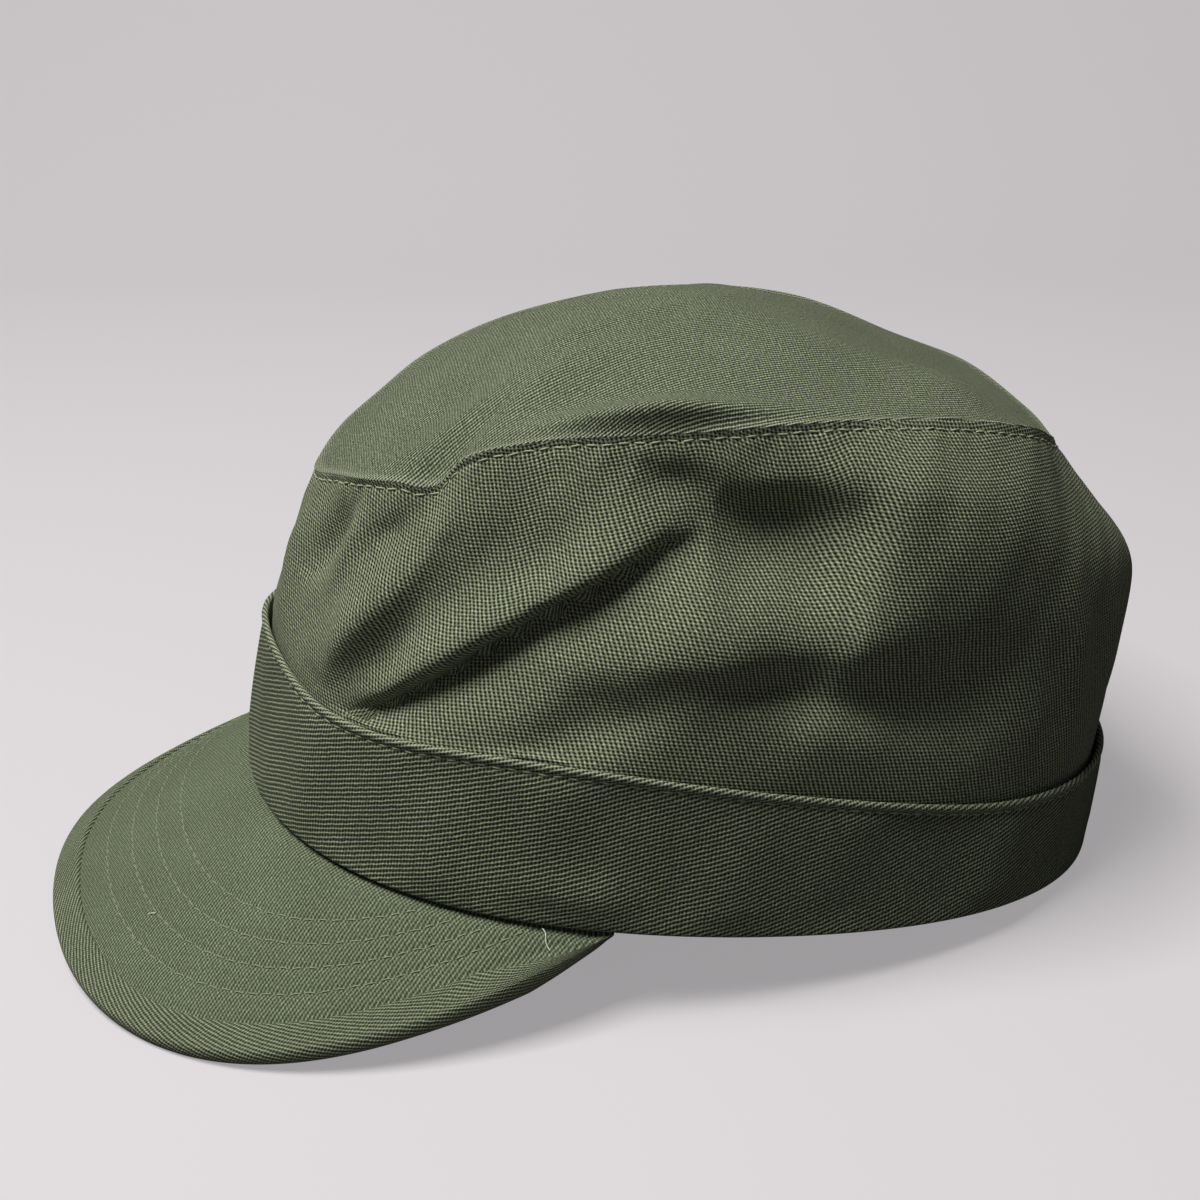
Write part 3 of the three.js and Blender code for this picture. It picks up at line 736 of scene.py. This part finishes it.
def make_crown_side(material):
    """The side wall: its foot is tucked inside the band, and its inner face is the outer one moved in by the
    cloth's thickness. Its rows lie closer together near the seam, which is painted pale, partly as wear and
    partly as a painted highlight."""
    angle = turns_round()
    field = 1 - np.linspace(0, 1, SIDE_ROWS) ** SIDE_ROWS_POWER
    near_seam = 1 - SIDE_SEAM_ROWS / WALL_MM_UP
    up = np.unique(np.concatenate([field, near_seam]))[:, None]
    foot = BAND_TOP_INWARD + BAND_WALL + GAP
    foot_height = band_height(angle) - TUCK_DEPTH
    face = side_face(angle[None], up)
    outer = np.concatenate([inside(angle, foot, foot_height)[None], face])
    inner = (face - face_normal(wall_point, angle[None], up) * CLOTH_WALL)[::SIDE_INNER_STEP]
    inner = np.concatenate([inside(angle, foot + CLOTH_WALL, foot_height)[None], inner])
    places = np.concatenate([outer, inner[::-1]])
    wear_and_highlight = np.zeros(len(places))
    # The seam is painted pale: partly wear, partly a painted highlight
    wear_and_highlight[1:len(outer)] = SEAM_WEAR_HIGHLIGHT * bell((1 - up[:, 0]) * WALL_MM_UP, 0, SIDE_WEAR_HIGHLIGHT_REACH)
    mesh = grid_mesh("crown_side_cloth", places, wrapped_cloth(angle, places), wear_and_highlight)
    link("crown_side_cloth", mesh, material, "crown_side")


def make_crown_top(material):
    """The top panel: it rolls over at the seam in part of a circle, and its inner face is the outer one moved
    in, ending in one point under the dome's centre. Its cloth is laid flat along lines from that centre."""
    angle = turns_round()
    near_seam = 1 - TOP_SEAM_ROWS / TOP_RADIUS
    reach = np.concatenate([near_seam, np.linspace(TOP_FIELD, 0, TOP_FIELD_ROWS)])[:, None]
    face = top_face(angle[None], reach)
    normal = top_normal(angle, 1.0)
    outward = unit(top_point(angle, 1.0) - top_point(angle, TOP_NEAR_SEAM))
    rolled = []
    for turn in SEAM_ROLL_TURNS:
        a = math.radians(turn)
        out = outward * SEAM_ROLL_RADIUS * math.sin(a)
        up = normal * SEAM_ROLL_RADIUS * (math.cos(a) - 1)
        rolled.append(face[0] + out + up)
    outer = np.concatenate([np.stack(rolled), face])
    chosen = np.append(np.arange(0, len(face) - 1, TOP_INNER_STEP), len(face) - 1)
    inner = face[chosen] - top_normal(angle[None], reach[chosen]) * CLOTH_WALL
    inner[-1] = inner[-1].mean(0)
    places = np.concatenate([outer, inner[::-1]])
    inward = lengths_down(outer[::-1])[::-1]
    heading = unit(wall_point(angle, 1.0)[..., :2] - np.array([0, DOME_CENTRE_Y]))
    cloth_outer = heading[None] * inward[..., None]
    cloth = np.concatenate([cloth_outer, cloth_outer[len(rolled):][chosen][::-1]])
    # The rolled seam is painted pale: partly wear, partly a painted highlight
    wear_and_highlight = np.zeros(len(places))
    past_seam = inward.mean(1) - inward[len(rolled)].mean()
    wear_and_highlight[:len(outer)] = SEAM_WEAR_HIGHLIGHT * bell(past_seam, 0, TOP_WEAR_HIGHLIGHT_REACH)
    mesh = grid_mesh("crown_top_cloth", places, cloth, wear_and_highlight)
    link("crown_top_cloth", mesh, material, "crown_top")


def band_face(angle, down):
    """Outer face of the band at a distance under its upper edge: it leans in as it rises, is drawn in along
    the stitches, stands out in the folded edge over them, and is pushed out over the peak's near corner, each
    a bell curve. Ripples die out at both edges."""
    height = band_height(angle)
    share = 1 - down / height
    calm = np.clip(np.minimum(down / BAND_CALM, (height - down) / BAND_CALM), 0, 1)
    rise = ripple(BAND_RIPPLES, angle, down) * calm
    rise += BAND_EDGE_RAISE * bell(down, BAND_EDGE_MIDDLE, BAND_EDGE_REACH)
    rise -= BAND_GROOVE * bell(down, BAND_STITCH_DEPTH, BAND_GROOVE_REACH)
    bump_round = bell(half_turn(angle - BAND_BUMP["angle"]), 0, BAND_BUMP["reach_round"])
    rise += BAND_BUMP["out"] * bump_round * bell(down, BAND_BUMP["down"], BAND_BUMP["reach_down"])
    return inside(angle, BAND_TOP_INWARD * share - rise, height - down)


def make_band(material):
    """The band: a strip folded double, rounded at both edges in parts of circles, with a plain inner face."""
    angle = turns_round()
    height = band_height(angle)
    outward = outline_normal(angle)
    foot = []
    for turn in BAND_FOOT_TURNS:
        a = math.radians(turn)
        inward = BAND_FOOT_RADIUS * (1 - math.cos(a))
        foot.append(inside(angle, inward, BAND_FOOT_RADIUS * (1 - math.sin(a))))
    field = height - BAND_FIELD_TOP - BAND_FOOT_RADIUS
    down = [height - BAND_FOOT_RADIUS - share * field for share in np.linspace(0, 1, BAND_FIELD_ROWS)]
    down += [np.full_like(height, row) for row in BAND_EDGE_ROWS]
    outer = foot + [band_face(angle, row) for row in down]
    middle = outer[-1] - outward * BAND_EDGE_RADIUS
    for turn in BAND_EDGE_TURNS:
        a = math.radians(turn)
        up = np.array([0, 0, BAND_EDGE_RADIUS * math.sin(a)])
        outer.append(middle + outward * BAND_EDGE_RADIUS * math.cos(a) + up)
    inner = [inside(angle, BAND_WALL + BAND_TOP_INWARD, height - BAND_INNER_TOP)]
    for share in BAND_INNER_SHARES:
        inner.append(inside(angle, BAND_WALL + BAND_TOP_INWARD * share, height * share))
    places = np.stack(outer + inner)
    # The folded upper edge is painted pale: partly wear, partly a painted highlight
    wear_and_highlight = np.zeros(len(places))
    edge_row = len(foot) + len(down)
    wear_and_highlight[edge_row + BAND_WORN_HIGHLIT_ROWS[0]:edge_row + BAND_WORN_HIGHLIT_ROWS[1]] = BAND_WEAR_HIGHLIGHT
    mesh = grid_mesh("band_cloth", places, wrapped_cloth(angle, places), wear_and_highlight)
    link("band_cloth", mesh, material, "band")


def peak_sides():
    """Places along the peak from its right corner to its left, closer together at the corners."""
    return PEAK_END * np.sin(np.linspace(-np.pi / 2, np.pi / 2, PEAK_COLUMNS + 1))


def flat_peak(side, out):
    """Place on the peak's cloth laid flat: each line keeps its length and its heading."""
    start, direction, _, length = peak_line(side)
    heading = unit(direction[..., :2])
    return start[..., :2] + heading * (length * out)[..., None]


def closed_ends(places, cloth):
    """A strip with one more column at each end, where all its rows meet in their mean place."""
    first, last = (np.broadcast_to(places[:, end].mean(0), (len(places), 1, 3)) for end in (0, -1))
    places = np.concatenate([first, places, last], axis=1)
    return places, np.concatenate([cloth[:, :1], cloth, cloth[:, -1:]], axis=1)


def make_peak(material):
    """The peak: a board covered in cloth, with a thinner tongue under the binding. Its cloth dips where it
    meets the band, and its seat is turned in under the band and up behind it."""
    side = peak_sides()[None]
    tongue = out_at_inset(side, BINDING_WALL + GAP)
    step = out_at_inset(side, BINDING_WIDTH - BINDING_COVER)
    out = step * np.linspace(1, 0, PEAK_TOP_ROWS)[:, None]
    length = peak_line(side)[3]
    inset = (1 - out) * (length * edge_squareness(side))
    dip = SEAT_DIP * bell(out * length, 0, SEAT_DIP_REACH)
    top = peak_face(side, out, PEAK_THICKNESS / 2 + quilting(inset) - dip)
    low_out = step * np.linspace(0, 1, PEAK_UNDER_ROWS)[:, None]
    under = peak_face(side, low_out, np.full_like(low_out, -PEAK_THICKNESS / 2))
    inward = -outline_normal(side * PEAK_HALF_ANGLE)
    near, far = PEAK_TURNED_IN, PEAK_TURNED_IN + CLOTH_WALL
    allowance = [(top[-1:], near, 0), (top[-1:], near, PEAK_TURNED_UP), (top[-1:], far, PEAK_TURNED_UP),
                 (under[:1], far, 0)]
    turned = [seat + inward * across + np.array([0, 0, height]) for seat, across, height in allowance]
    half = np.full_like(side, TONGUE_THICKNESS / 2)
    places = np.concatenate([peak_face(side, tongue, half), top, *turned, under,
                             peak_face(side, tongue, -half)])
    seat = flat_peak(side, np.zeros_like(side))
    cloth = np.concatenate([flat_peak(side, tongue), flat_peak(side, out), *[seat] * len(turned),
                            flat_peak(side, low_out), flat_peak(side, tongue)])
    places, cloth = closed_ends(places, cloth)
    mesh = grid_mesh("peak_cloth", places, cloth, np.zeros(len(places)))
    link("peak_cloth", mesh, material, "peak")


def binding_profile():
    """Insets from the peak's free edge and heights over its middle surface, all round the binding's cut: the
    underside, half an oval round the edge, the slightly swollen upper side, and the hollow for the tongue."""
    inner_half = TONGUE_THICKNESS / 2 + GAP
    half = inner_half + BINDING_WALL
    turned_under = [
        (BINDING_WIDTH - BINDING_CORNER, half),
        (BINDING_WIDTH - BINDING_CHAMFER_IN, half - BINDING_CHAMFER_DOWN),
        (BINDING_WIDTH, half - BINDING_CORNER),
        (BINDING_WIDTH, inner_half),
    ]
    profile = [(inset, -height) for inset, height in reversed(turned_under)]
    profile += [(inset, -half) for inset in BINDING_UNDER_INSETS]
    bow = half * BINDING_ROUNDNESS
    for turn in np.linspace(-90, 90, BINDING_FOLD_ROWS):
        a = math.radians(turn)
        profile.append((bow * (1 - math.cos(a)), half * math.sin(a)))
    profile += [(inset, half + swell) for inset, swell in zip(*BINDING_SWELL.values())]
    return profile + turned_under + [(BINDING_WALL, inner_half), (BINDING_WALL, -inner_half)]


def make_binding(material):
    """The binding: a bias strip folded round the peak's free edge, its own inner edge turned under. Its cloth
    is laid flat along the free edge and across the strip."""
    side = peak_sides()[None]
    profile = binding_profile()
    places = np.concatenate([peak_face(side, out_at_inset(side, inset), np.full_like(side, height))
                             for inset, height in profile])
    across = lengths_round(np.array([(inset, height, 0) for inset, height in profile]))
    edge = peak_middle(side[0], np.ones_like(side[0]))
    tangent = unit(np.gradient(edge, axis=0))
    along = lengths_round(edge) + ((places - edge) * tangent).sum(-1)
    cloth = np.stack(np.broadcast_arrays(along, across[:, None]), -1)
    places, cloth = closed_ends(places, cloth)
    # The free edge is painted pale: partly wear, partly a painted highlight
    wear_and_highlight = np.array([BINDING_WEAR_HIGHLIGHT * bell(inset, 0, BINDING_WEAR_HIGHLIGHT_REACH) for inset, _ in profile])
    mesh = grid_mesh("peak_binding_cloth", places, cloth, wear_and_highlight)
    link("peak_binding_cloth", mesh, material, "peak_binding")


def tube_mesh(name, centre, side, normal, thick, material):
    """Round threads along centre[thread, station], with side and normal square to them and a radius at each
    station. Their ends are closed."""
    turn = np.linspace(0, 2 * np.pi, THREAD_SIDES + 1)[:-1]
    ring = side[:, :, None] * np.cos(turn)[:, None] + normal[:, :, None] * np.sin(turn)[:, None]
    points = centre[:, :, None] + ring * thick[None, :, None, None]
    threads, stations = centre.shape[:2]
    corner = np.arange(THREAD_SIDES)
    ends = np.arange(threads)[:, None] * stations * THREAD_SIDES + corner
    here = ends[:, None] + np.arange(stations - 1)[:, None] * THREAD_SIDES
    beside = np.roll(here, -1, axis=-1)
    sides = np.stack([here, beside, beside + THREAD_SIDES, here + THREAD_SIDES], -1).reshape(-1, 4)
    faces = sides.tolist() + ends[:, ::-1].tolist() + (ends + (stations - 1) * THREAD_SIDES).tolist()
    mesh = bpy.data.meshes.new(name)
    mesh.from_pydata(rested(points).reshape(-1, 3).tolist(), [], faces)
    mesh.polygons.foreach_set("use_smooth", np.ones(len(faces), bool))
    link(name, mesh, material)


def stitch_row(name, places, normals, material, radius=THREAD_RADIUS, sink=0.0):
    """A row of stitches along a line of places: each is a tapering length of thread that rises over the cloth
    as half a sine wave and dives into it at both ends, and lies a little askew."""
    along = lengths_round(places)
    starts = np.arange(int(along[-1] // STITCH_PITCH)) * STITCH_PITCH
    wander = np.sin(starts * WANDER_RATE) * THREAD_WANDER
    tilt = np.sin(starts * TILT_RATE) * THREAD_TILT
    t = np.linspace(0, 1, STITCH_STATIONS)
    s = starts[:, None] + STITCH_LENGTH * t
    centre = np.stack([np.interp(s, along, places[:, k]) for k in range(3)], -1)
    normal = unit(np.stack([np.interp(s, along, normals[:, k]) for k in range(3)], -1))
    tangent = unit(centre[:, -1:] - centre[:, :1])
    side = unit(np.cross(normal, tangent))
    sideways = wander[:, None] + tilt[:, None] * STITCH_LENGTH * (t - 0.5)
    over = radius * (STITCH_ARCH * np.sin(np.pi * t) - STITCH_SUNK) - sink
    centre = centre + side * sideways[..., None]
    centre = centre + normal * over[None, :, None]
    thick = radius * np.sqrt(np.maximum(1 - (2 * t - 1) ** 4, STITCH_TIP))
    tube_mesh(name, centre, side, normal, thick, material)


def loose_end(name, start, finish, normal, material):
    """A cut end of thread that curls up off the peak between two places of its cloth, lifted by part of a
    half sine wave and swayed by a whole one."""
    t = np.linspace(0, 1, LOOSE_STATIONS)
    tangent = unit(finish - start)
    side = unit(np.cross(normal, tangent))
    length = np.linalg.norm(finish - start)
    lift = LOOSE_LIFT * length * np.sin(np.pi * t * LOOSE_LIFT_TURN)
    curl = LOOSE_CURL * length * np.sin(2 * np.pi * t)
    centre = start + (finish - start) * t[:, None] + normal * lift[:, None] + side * curl[:, None]
    thick = np.full(len(t), LOOSE_RADIUS)
    normals, sides = (np.broadcast_to(v, centre.shape)[None] for v in (normal, side))
    tube_mesh(name, centre[None], sides, normals, thick, material)


def make_seam_stitches(material):
    """Topstitching just under the top seam, hidden where the seam steps up at the left front."""
    for number, (first, last) in enumerate(((SEAM_STEP[1], 360), (0, SEAM_STEP[0])), 1):
        angle = np.linspace(first, last, SEAM_STITCH_POINTS)
        drop = around(CROWN_SECTIONS, "seam_height", angle) - band_height(angle)
        up = 1 - SEAM_STITCH_DEPTH / drop
        stitch_row(f"seam_stitches_{number}", side_face(angle, up), face_normal(wall_point, angle, up),
                   material)


def make_band_stitches(material):
    """Topstitching under the band's folded edge."""
    angle = np.linspace(-90, 270, BAND_STITCH_POINTS)
    places = band_face(angle, np.full_like(angle, BAND_STITCH_DEPTH))
    stitch_row("band_stitches", places, outline_normal(angle), material,
               sink=BAND_STITCH_SINK)


def make_peak_stitches(material):
    """The rows of stitching that quilt the peak, each parallel to its free edge until it meets the band."""
    for number, inset in enumerate(PEAK_STITCH_INSETS, 1):
        side = np.linspace(-PEAK_STITCH_SIDE, PEAK_STITCH_SIDE, PEAK_STITCH_POINTS)
        out = out_at_inset(side, inset)
        shows = out > PEAK_STITCH_START
        side, out = side[shows], out[shows]
        places = peak_face(side, out, np.full_like(side, PEAK_THICKNESS / 2 - QUILT_DEPTH))
        stitch_row(f"peak_stitches_{number}", places, peak_line(side)[2], material,
                   PEAK_THREAD_RADIUS)


def make_loose_ends(material):
    """The two cut ends of thread on the peak, each between two places given by side and out."""
    for number, (side_1, out_1, side_2, out_2) in enumerate(LOOSE_ENDS, 1):
        side, out = np.array([side_1, side_2]), np.array([out_1, out_2])
        start, finish = peak_face(side, out, np.full(2, PEAK_THICKNESS / 2))
        loose_end(f"loose_end_{number}", start, finish, peak_line(side)[2][0], material)


def linear(hex_colour):
    """An sRGB hex colour as linear red, green, blue and alpha."""
    parts = [int(hex_colour[k:k + 2], 16) / 255 for k in (1, 3, 5)]
    return [p / 12.92 if p <= 0.04045 else ((p + 0.055) / 1.055) ** 2.4 for p in parts] + [1]


def add_node(tree, kind, inputs=None, links=None, **settings):
    """Adds a node with its settings, the values of its inputs, and its links from other nodes' outputs."""
    made = tree.nodes.new(kind)
    for name, value in settings.items():
        setattr(made, name, value)
    for name, value in (inputs or {}).items():
        made.inputs[name].default_value = value
    for name, output in (links or {}).items():
        tree.links.new(output, made.inputs[name])
    return made


def new_material(name):
    """An empty material and its node tree."""
    material = bpy.data.materials.new(name)
    material.use_nodes = True
    material.node_tree.nodes.clear()
    return material, material.node_tree


def cloth_material(name, light, dark, spacing, rib_turn, cross, fleck):
    """Cotton twill: slanting ribs, a little beaded by the other yarn, which crosses the grooves between them.
    It is light on the yarns and dark in the pits, the dark a painted shade where the ribs shade the grooves,
    with slow changes of shade where the dye took unevenly and a pale bloom along the edges that is partly
    wear and partly a painted highlight.
    spacing is the ribs' distance in mm, rib_turn their turn on the flat cloth, in degrees from the direction
    round the cap, cross how far the other yarn fills the grooves between them, and fleck how far single
    fibres change the shade."""
    material, tree = new_material(name)
    place = add_node(tree, "ShaderNodeUVMap", uv_map="cloth")
    waves = []
    for period, turn in ((spacing, rib_turn), (spacing * CROSS_SHARE, rib_turn + CROSS_TURN)):
        turned = add_node(tree, "ShaderNodeVectorRotate", {"Angle": math.radians(90 - turn)},
                          {"Vector": place.outputs["UV"]}, rotation_type="Z_AXIS")
        waves.append(add_node(
            tree, "ShaderNodeTexWave",
            {"Scale": WAVE_UNIT / period, **WAVE_WANDER},
            {"Vector": turned.outputs["Vector"]},
            wave_type="BANDS", bands_direction="X", wave_profile="SIN"))
    # The weave's height: ribs beaded by the crossing yarn, and that yarn again in the grooves
    crossed = add_node(tree, "ShaderNodeMath", {1: cross}, {0: waves[1].outputs["Fac"]},
                       operation="MULTIPLY")
    groove = add_node(tree, "ShaderNodeMath", {0: 1.0}, {1: waves[0].outputs["Fac"]}, operation="SUBTRACT")
    bead = add_node(tree, "ShaderNodeMath", {1: BEAD_SHARE, 2: 1 - BEAD_SHARE},
                    {0: waves[1].outputs["Fac"]}, operation="MULTIPLY_ADD")
    rib = add_node(tree, "ShaderNodeMath", None, {0: waves[0].outputs["Fac"], 1: bead.outputs["Value"]},
                   operation="MULTIPLY")
    net = add_node(tree, "ShaderNodeMath", None,
                   {0: groove.outputs["Value"], 1: crossed.outputs["Value"], 2: rib.outputs["Value"]},
                   operation="MULTIPLY_ADD")
    weave = add_node(tree, "ShaderNodeMath", {1: PIT_SHARPNESS}, {0: net.outputs["Value"]},
                     operation="POWER")
    # Its colour: pits painted dark as shade, up to the yarns' own colour, then the uneven dye and the single
    # fibres
    shade = add_node(tree, "ShaderNodeMix", {6: linear(dark), 7: linear(light)},
                     {0: weave.outputs["Value"]}, data_type="RGBA")
    changes = []
    for scale, low, high in ((DYE_SCALE, DYE_LOW, DYE_HIGH), (FIBRE_SCALE, 1 - fleck, 1 + fleck)):
        noise = add_node(tree, "ShaderNodeTexNoise", {"Scale": scale, "Detail": NOISE_DETAIL},
                         {"Vector": place.outputs["UV"]})
        changes.append(add_node(
            tree, "ShaderNodeMapRange",
            {"From Min": NOISE_LOW, "From Max": NOISE_HIGH, "To Min": low, "To Max": high},
            {"Value": noise.outputs["Fac"]}))
    value = add_node(tree, "ShaderNodeMath", None,
                     {0: changes[0].outputs["Result"], 1: changes[1].outputs["Result"]},
                     operation="MULTIPLY")
    varied = add_node(tree, "ShaderNodeHueSaturation", None,
                      {"Color": shade.outputs[2], "Value": value.outputs["Value"]})
    # The pale bloom, partly wear and partly a painted highlight, lies on the yarns, not in the pits
    wear_and_highlight = add_node(tree, "ShaderNodeAttribute", attribute_name="wear_and_highlight")
    rubbed = add_node(tree, "ShaderNodeMath", None, {0: wear_and_highlight.outputs["Fac"], 1: weave.outputs["Value"]},
                      operation="MULTIPLY", use_clamp=True)
    worn_highlit = add_node(tree, "ShaderNodeMix", {7: linear(WORN_HIGHLIGHT_COLOUR)},
                    {0: rubbed.outputs["Value"], 6: varied.outputs["Color"]}, data_type="RGBA")
    bump = add_node(tree, "ShaderNodeBump", {"Strength": 1.0, "Distance": RIB_RELIEF * MM},
                    {"Height": weave.outputs["Value"]})
    shader = add_node(tree, "ShaderNodeBsdfPrincipled", {**CLOTH_FINISH, "Sheen Tint": linear(SHEEN)},
                      {"Base Color": worn_highlit.outputs[2], "Normal": bump.outputs["Normal"]})
    add_node(tree, "ShaderNodeOutputMaterial", None, {"Surface": shader.outputs["BSDF"]})
    return material


def thread_material(name, light, dark):
    """Cotton sewing thread, twisted so fine that only its shade varies along it."""
    material, tree = new_material(name)
    place = add_node(tree, "ShaderNodeTexCoord")
    fleck = add_node(tree, "ShaderNodeTexNoise", {"Scale": THREAD_FLECKS_PER_METRE},
                     {"Vector": place.outputs["Object"]})
    shade = add_node(tree, "ShaderNodeMix", {6: linear(dark), 7: linear(light)},
                     {0: fleck.outputs["Fac"]}, data_type="RGBA")
    shader = add_node(tree, "ShaderNodeBsdfPrincipled", THREAD_FINISH, {"Base Color": shade.outputs[2]})
    add_node(tree, "ShaderNodeOutputMaterial", None, {"Surface": shader.outputs["BSDF"]})
    return material


def floor_material():
    """Smooth pale grey board. Only the camera sees it this pale and this even: it sends less light up into
    the cap's folds, as a floor that is farther away would."""
    material, tree = new_material("pale_board")
    path = add_node(tree, "ShaderNodeLightPath")
    shade = add_node(tree, "ShaderNodeMix", {6: linear("#5c5a5c"), 7: linear("#a6a3a6")},
                     {0: path.outputs["Is Camera Ray"]}, data_type="RGBA")
    glow = add_node(tree, "ShaderNodeMath", {1: FLOOR_GLOW}, {0: path.outputs["Is Camera Ray"]},
                    operation="MULTIPLY")
    shader = add_node(tree, "ShaderNodeBsdfPrincipled",
                      {**FLOOR_FINISH, "Emission Color": linear("#fdf9fc")},
                      {"Base Color": shade.outputs[2], "Emission Strength": glow.outputs["Value"]})
    add_node(tree, "ShaderNodeOutputMaterial", None, {"Surface": shader.outputs["BSDF"]})
    return material


def make_floor(material):
    """A floor that curves up into a backdrop behind the cap, as the camera sees it: a flat strip, a quarter
    circle and a wall."""
    away = -Vector((math.sin(math.radians(CAMERA_TURN)), -math.cos(math.radians(CAMERA_TURN)), 0))
    across = Vector((away.y, -away.x, 0))
    profile = [(-FLOOR_REACH, 0.0), (FLOOR_LENGTH, 0.0)]
    for turn in np.linspace(0, math.pi / 2, FLOOR_BEND_ROWS + 1)[1:]:
        profile.append((FLOOR_LENGTH + FLOOR_BEND * math.sin(turn), FLOOR_BEND * (1 - math.cos(turn))))
    profile.append((FLOOR_LENGTH + FLOOR_BEND, BACKDROP_HEIGHT))
    verts = [away * out + across * width + Vector((0, 0, height))
             for out, height in profile for width in (-FLOOR_REACH, FLOOR_REACH)]
    faces = [(k, k + 1, k + 3, k + 2) for k in range(0, len(verts) - 2, 2)]
    mesh = bpy.data.meshes.new("floor")
    mesh.from_pydata(verts, [], faces)
    mesh.polygons.foreach_set("use_smooth", np.ones(len(faces), bool))
    mesh.materials.append(material)
    floor = bpy.data.objects.new("floor", mesh)
    bpy.context.scene.collection.objects.link(floor)


def add_light(name, place, size, power, colour):
    """A square soft light that faces the cap."""
    data = bpy.data.lights.new(name, "AREA")
    data.size = size
    data.energy = power
    data.color = linear(colour)[:3]
    light = bpy.data.objects.new(name, data)
    light.location = place
    light.rotation_euler = (Vector(LIGHT_TARGET) - Vector(place)).to_track_quat("-Z", "Y").to_euler()
    bpy.context.scene.collection.objects.link(light)


def make_lights():
    """A large soft light over the cap's front, a weaker one at the camera's side, and pale light all
    round."""
    add_light("key", KEY_PLACE, KEY_SIZE, KEY_POWER, "#fffdfa")
    add_light("fill", FILL_PLACE, FILL_SIZE, FILL_POWER, "#f6f7ff")
    world = bpy.data.worlds.new("studio")
    world.use_nodes = True
    background = world.node_tree.nodes["Background"]
    background.inputs["Color"].default_value = linear("#f2eff4")
    background.inputs["Strength"].default_value = WORLD_STRENGTH
    bpy.context.scene.world = world


def make_camera():
    """The photograph's camera, worked out in the cap's frame and tipped back with the cap."""
    turn, rise, roll = (math.radians(v) for v in (CAMERA_TURN, CAMERA_RISE, CAMERA_ROLL))
    back = Vector((math.sin(turn) * math.cos(rise), -math.cos(turn) * math.cos(rise), math.sin(rise)))
    level = Vector((math.cos(turn), math.sin(turn), 0))
    upright = back.cross(level)
    right = level * math.cos(roll) + upright * math.sin(roll)
    above = upright * math.cos(roll) - level * math.sin(roll)
    place = right * CAMERA_ACROSS + above * CAMERA_UP + back * CAMERA_DISTANCE
    tip = Matrix.Rotation(-math.radians(REST_PITCH), 4, "X")
    shift = Matrix.Translation(Vector((0, REST_BACK, REST_LIFT)) * MM)
    pose = Matrix.Translation(place * MM) @ Matrix((right, above, back)).transposed().to_4x4()
    data = bpy.data.cameras.new("camera")
    data.sensor_width = SENSOR_WIDTH
    data.lens = SENSOR_WIDTH * CAMERA_FOCUS
    camera = bpy.data.objects.new("camera", data)
    camera.matrix_world = shift @ tip @ pose
    bpy.context.scene.collection.objects.link(camera)
    bpy.context.scene.camera = camera


# In each twill below, the dark colour is painted shade in the pits between the ribs
# Fine cotton twill of the top, woven close and washed soft: matt, with ribs so fine that they read as a haze
top_twill = cloth_material("top_twill", "#a6b192", "#20251a", FINE_RIB, TOP_RIB_TURN,
                           cross=0.45, fleck=0.6)

# Coarser cotton twill of the side, woven loose and worn: matt pale ribs over pits painted nearly black as
# shade
side_twill = cloth_material("side_twill", "#b0bb99", "#060803", COARSE_RIB, SIDE_RIB_TURN,
                            cross=0.6, fleck=0.5)

# The same twill folded double for the band: its ribs run nearly level, and show as long pale threads
band_twill = cloth_material("band_twill", "#a4af8f", "#0e110b", COARSE_RIB, BAND_RIB_TURN,
                            cross=0.5, fleck=0.45)

# Fine twill stretched over the peak's board: pressed flat, so that its pits are shallow and it looks even
peak_twill = cloth_material("peak_twill", "#97a385", "#3c4432", FINE_RIB, PEAK_RIB_TURN,
                            cross=0.5, fleck=0.4)

# Fine twill cut on the bias for the binding: its ribs run slantwise round the peak's edge
binding_twill = cloth_material("binding_twill", "#a4af8f", "#2c3124", FINE_RIB, BINDING_RIB_TURN,
                               cross=0.5, fleck=0.35)

# Cotton sewing thread of the seams, dyed to match: a shade paler than the cloth, with a little shine
thread = thread_material("sewing_thread", "#b6be9f", "#8a9474")

# The same thread on the peak, rubbed and dusty, so that its rows only just stand out
peak_thread = thread_material("worn_sewing_thread", "#a0a88a", "#7d8768")

# Cut ends of cotton thread, paled by wear: nearly white, so that they catch the eye
pale_thread = thread_material("raw_thread", "#f0eee4", "#c9c8ba")

make_crown_top(top_twill)
make_crown_side(side_twill)
make_band(band_twill)
make_peak(peak_twill)
make_binding(binding_twill)
make_seam_stitches(thread)
make_band_stitches(thread)
make_peak_stitches(peak_thread)
make_loose_ends(pale_thread)

make_floor(floor_material())
make_lights()
make_camera()
bpy.context.scene.view_settings.view_transform = "Standard"
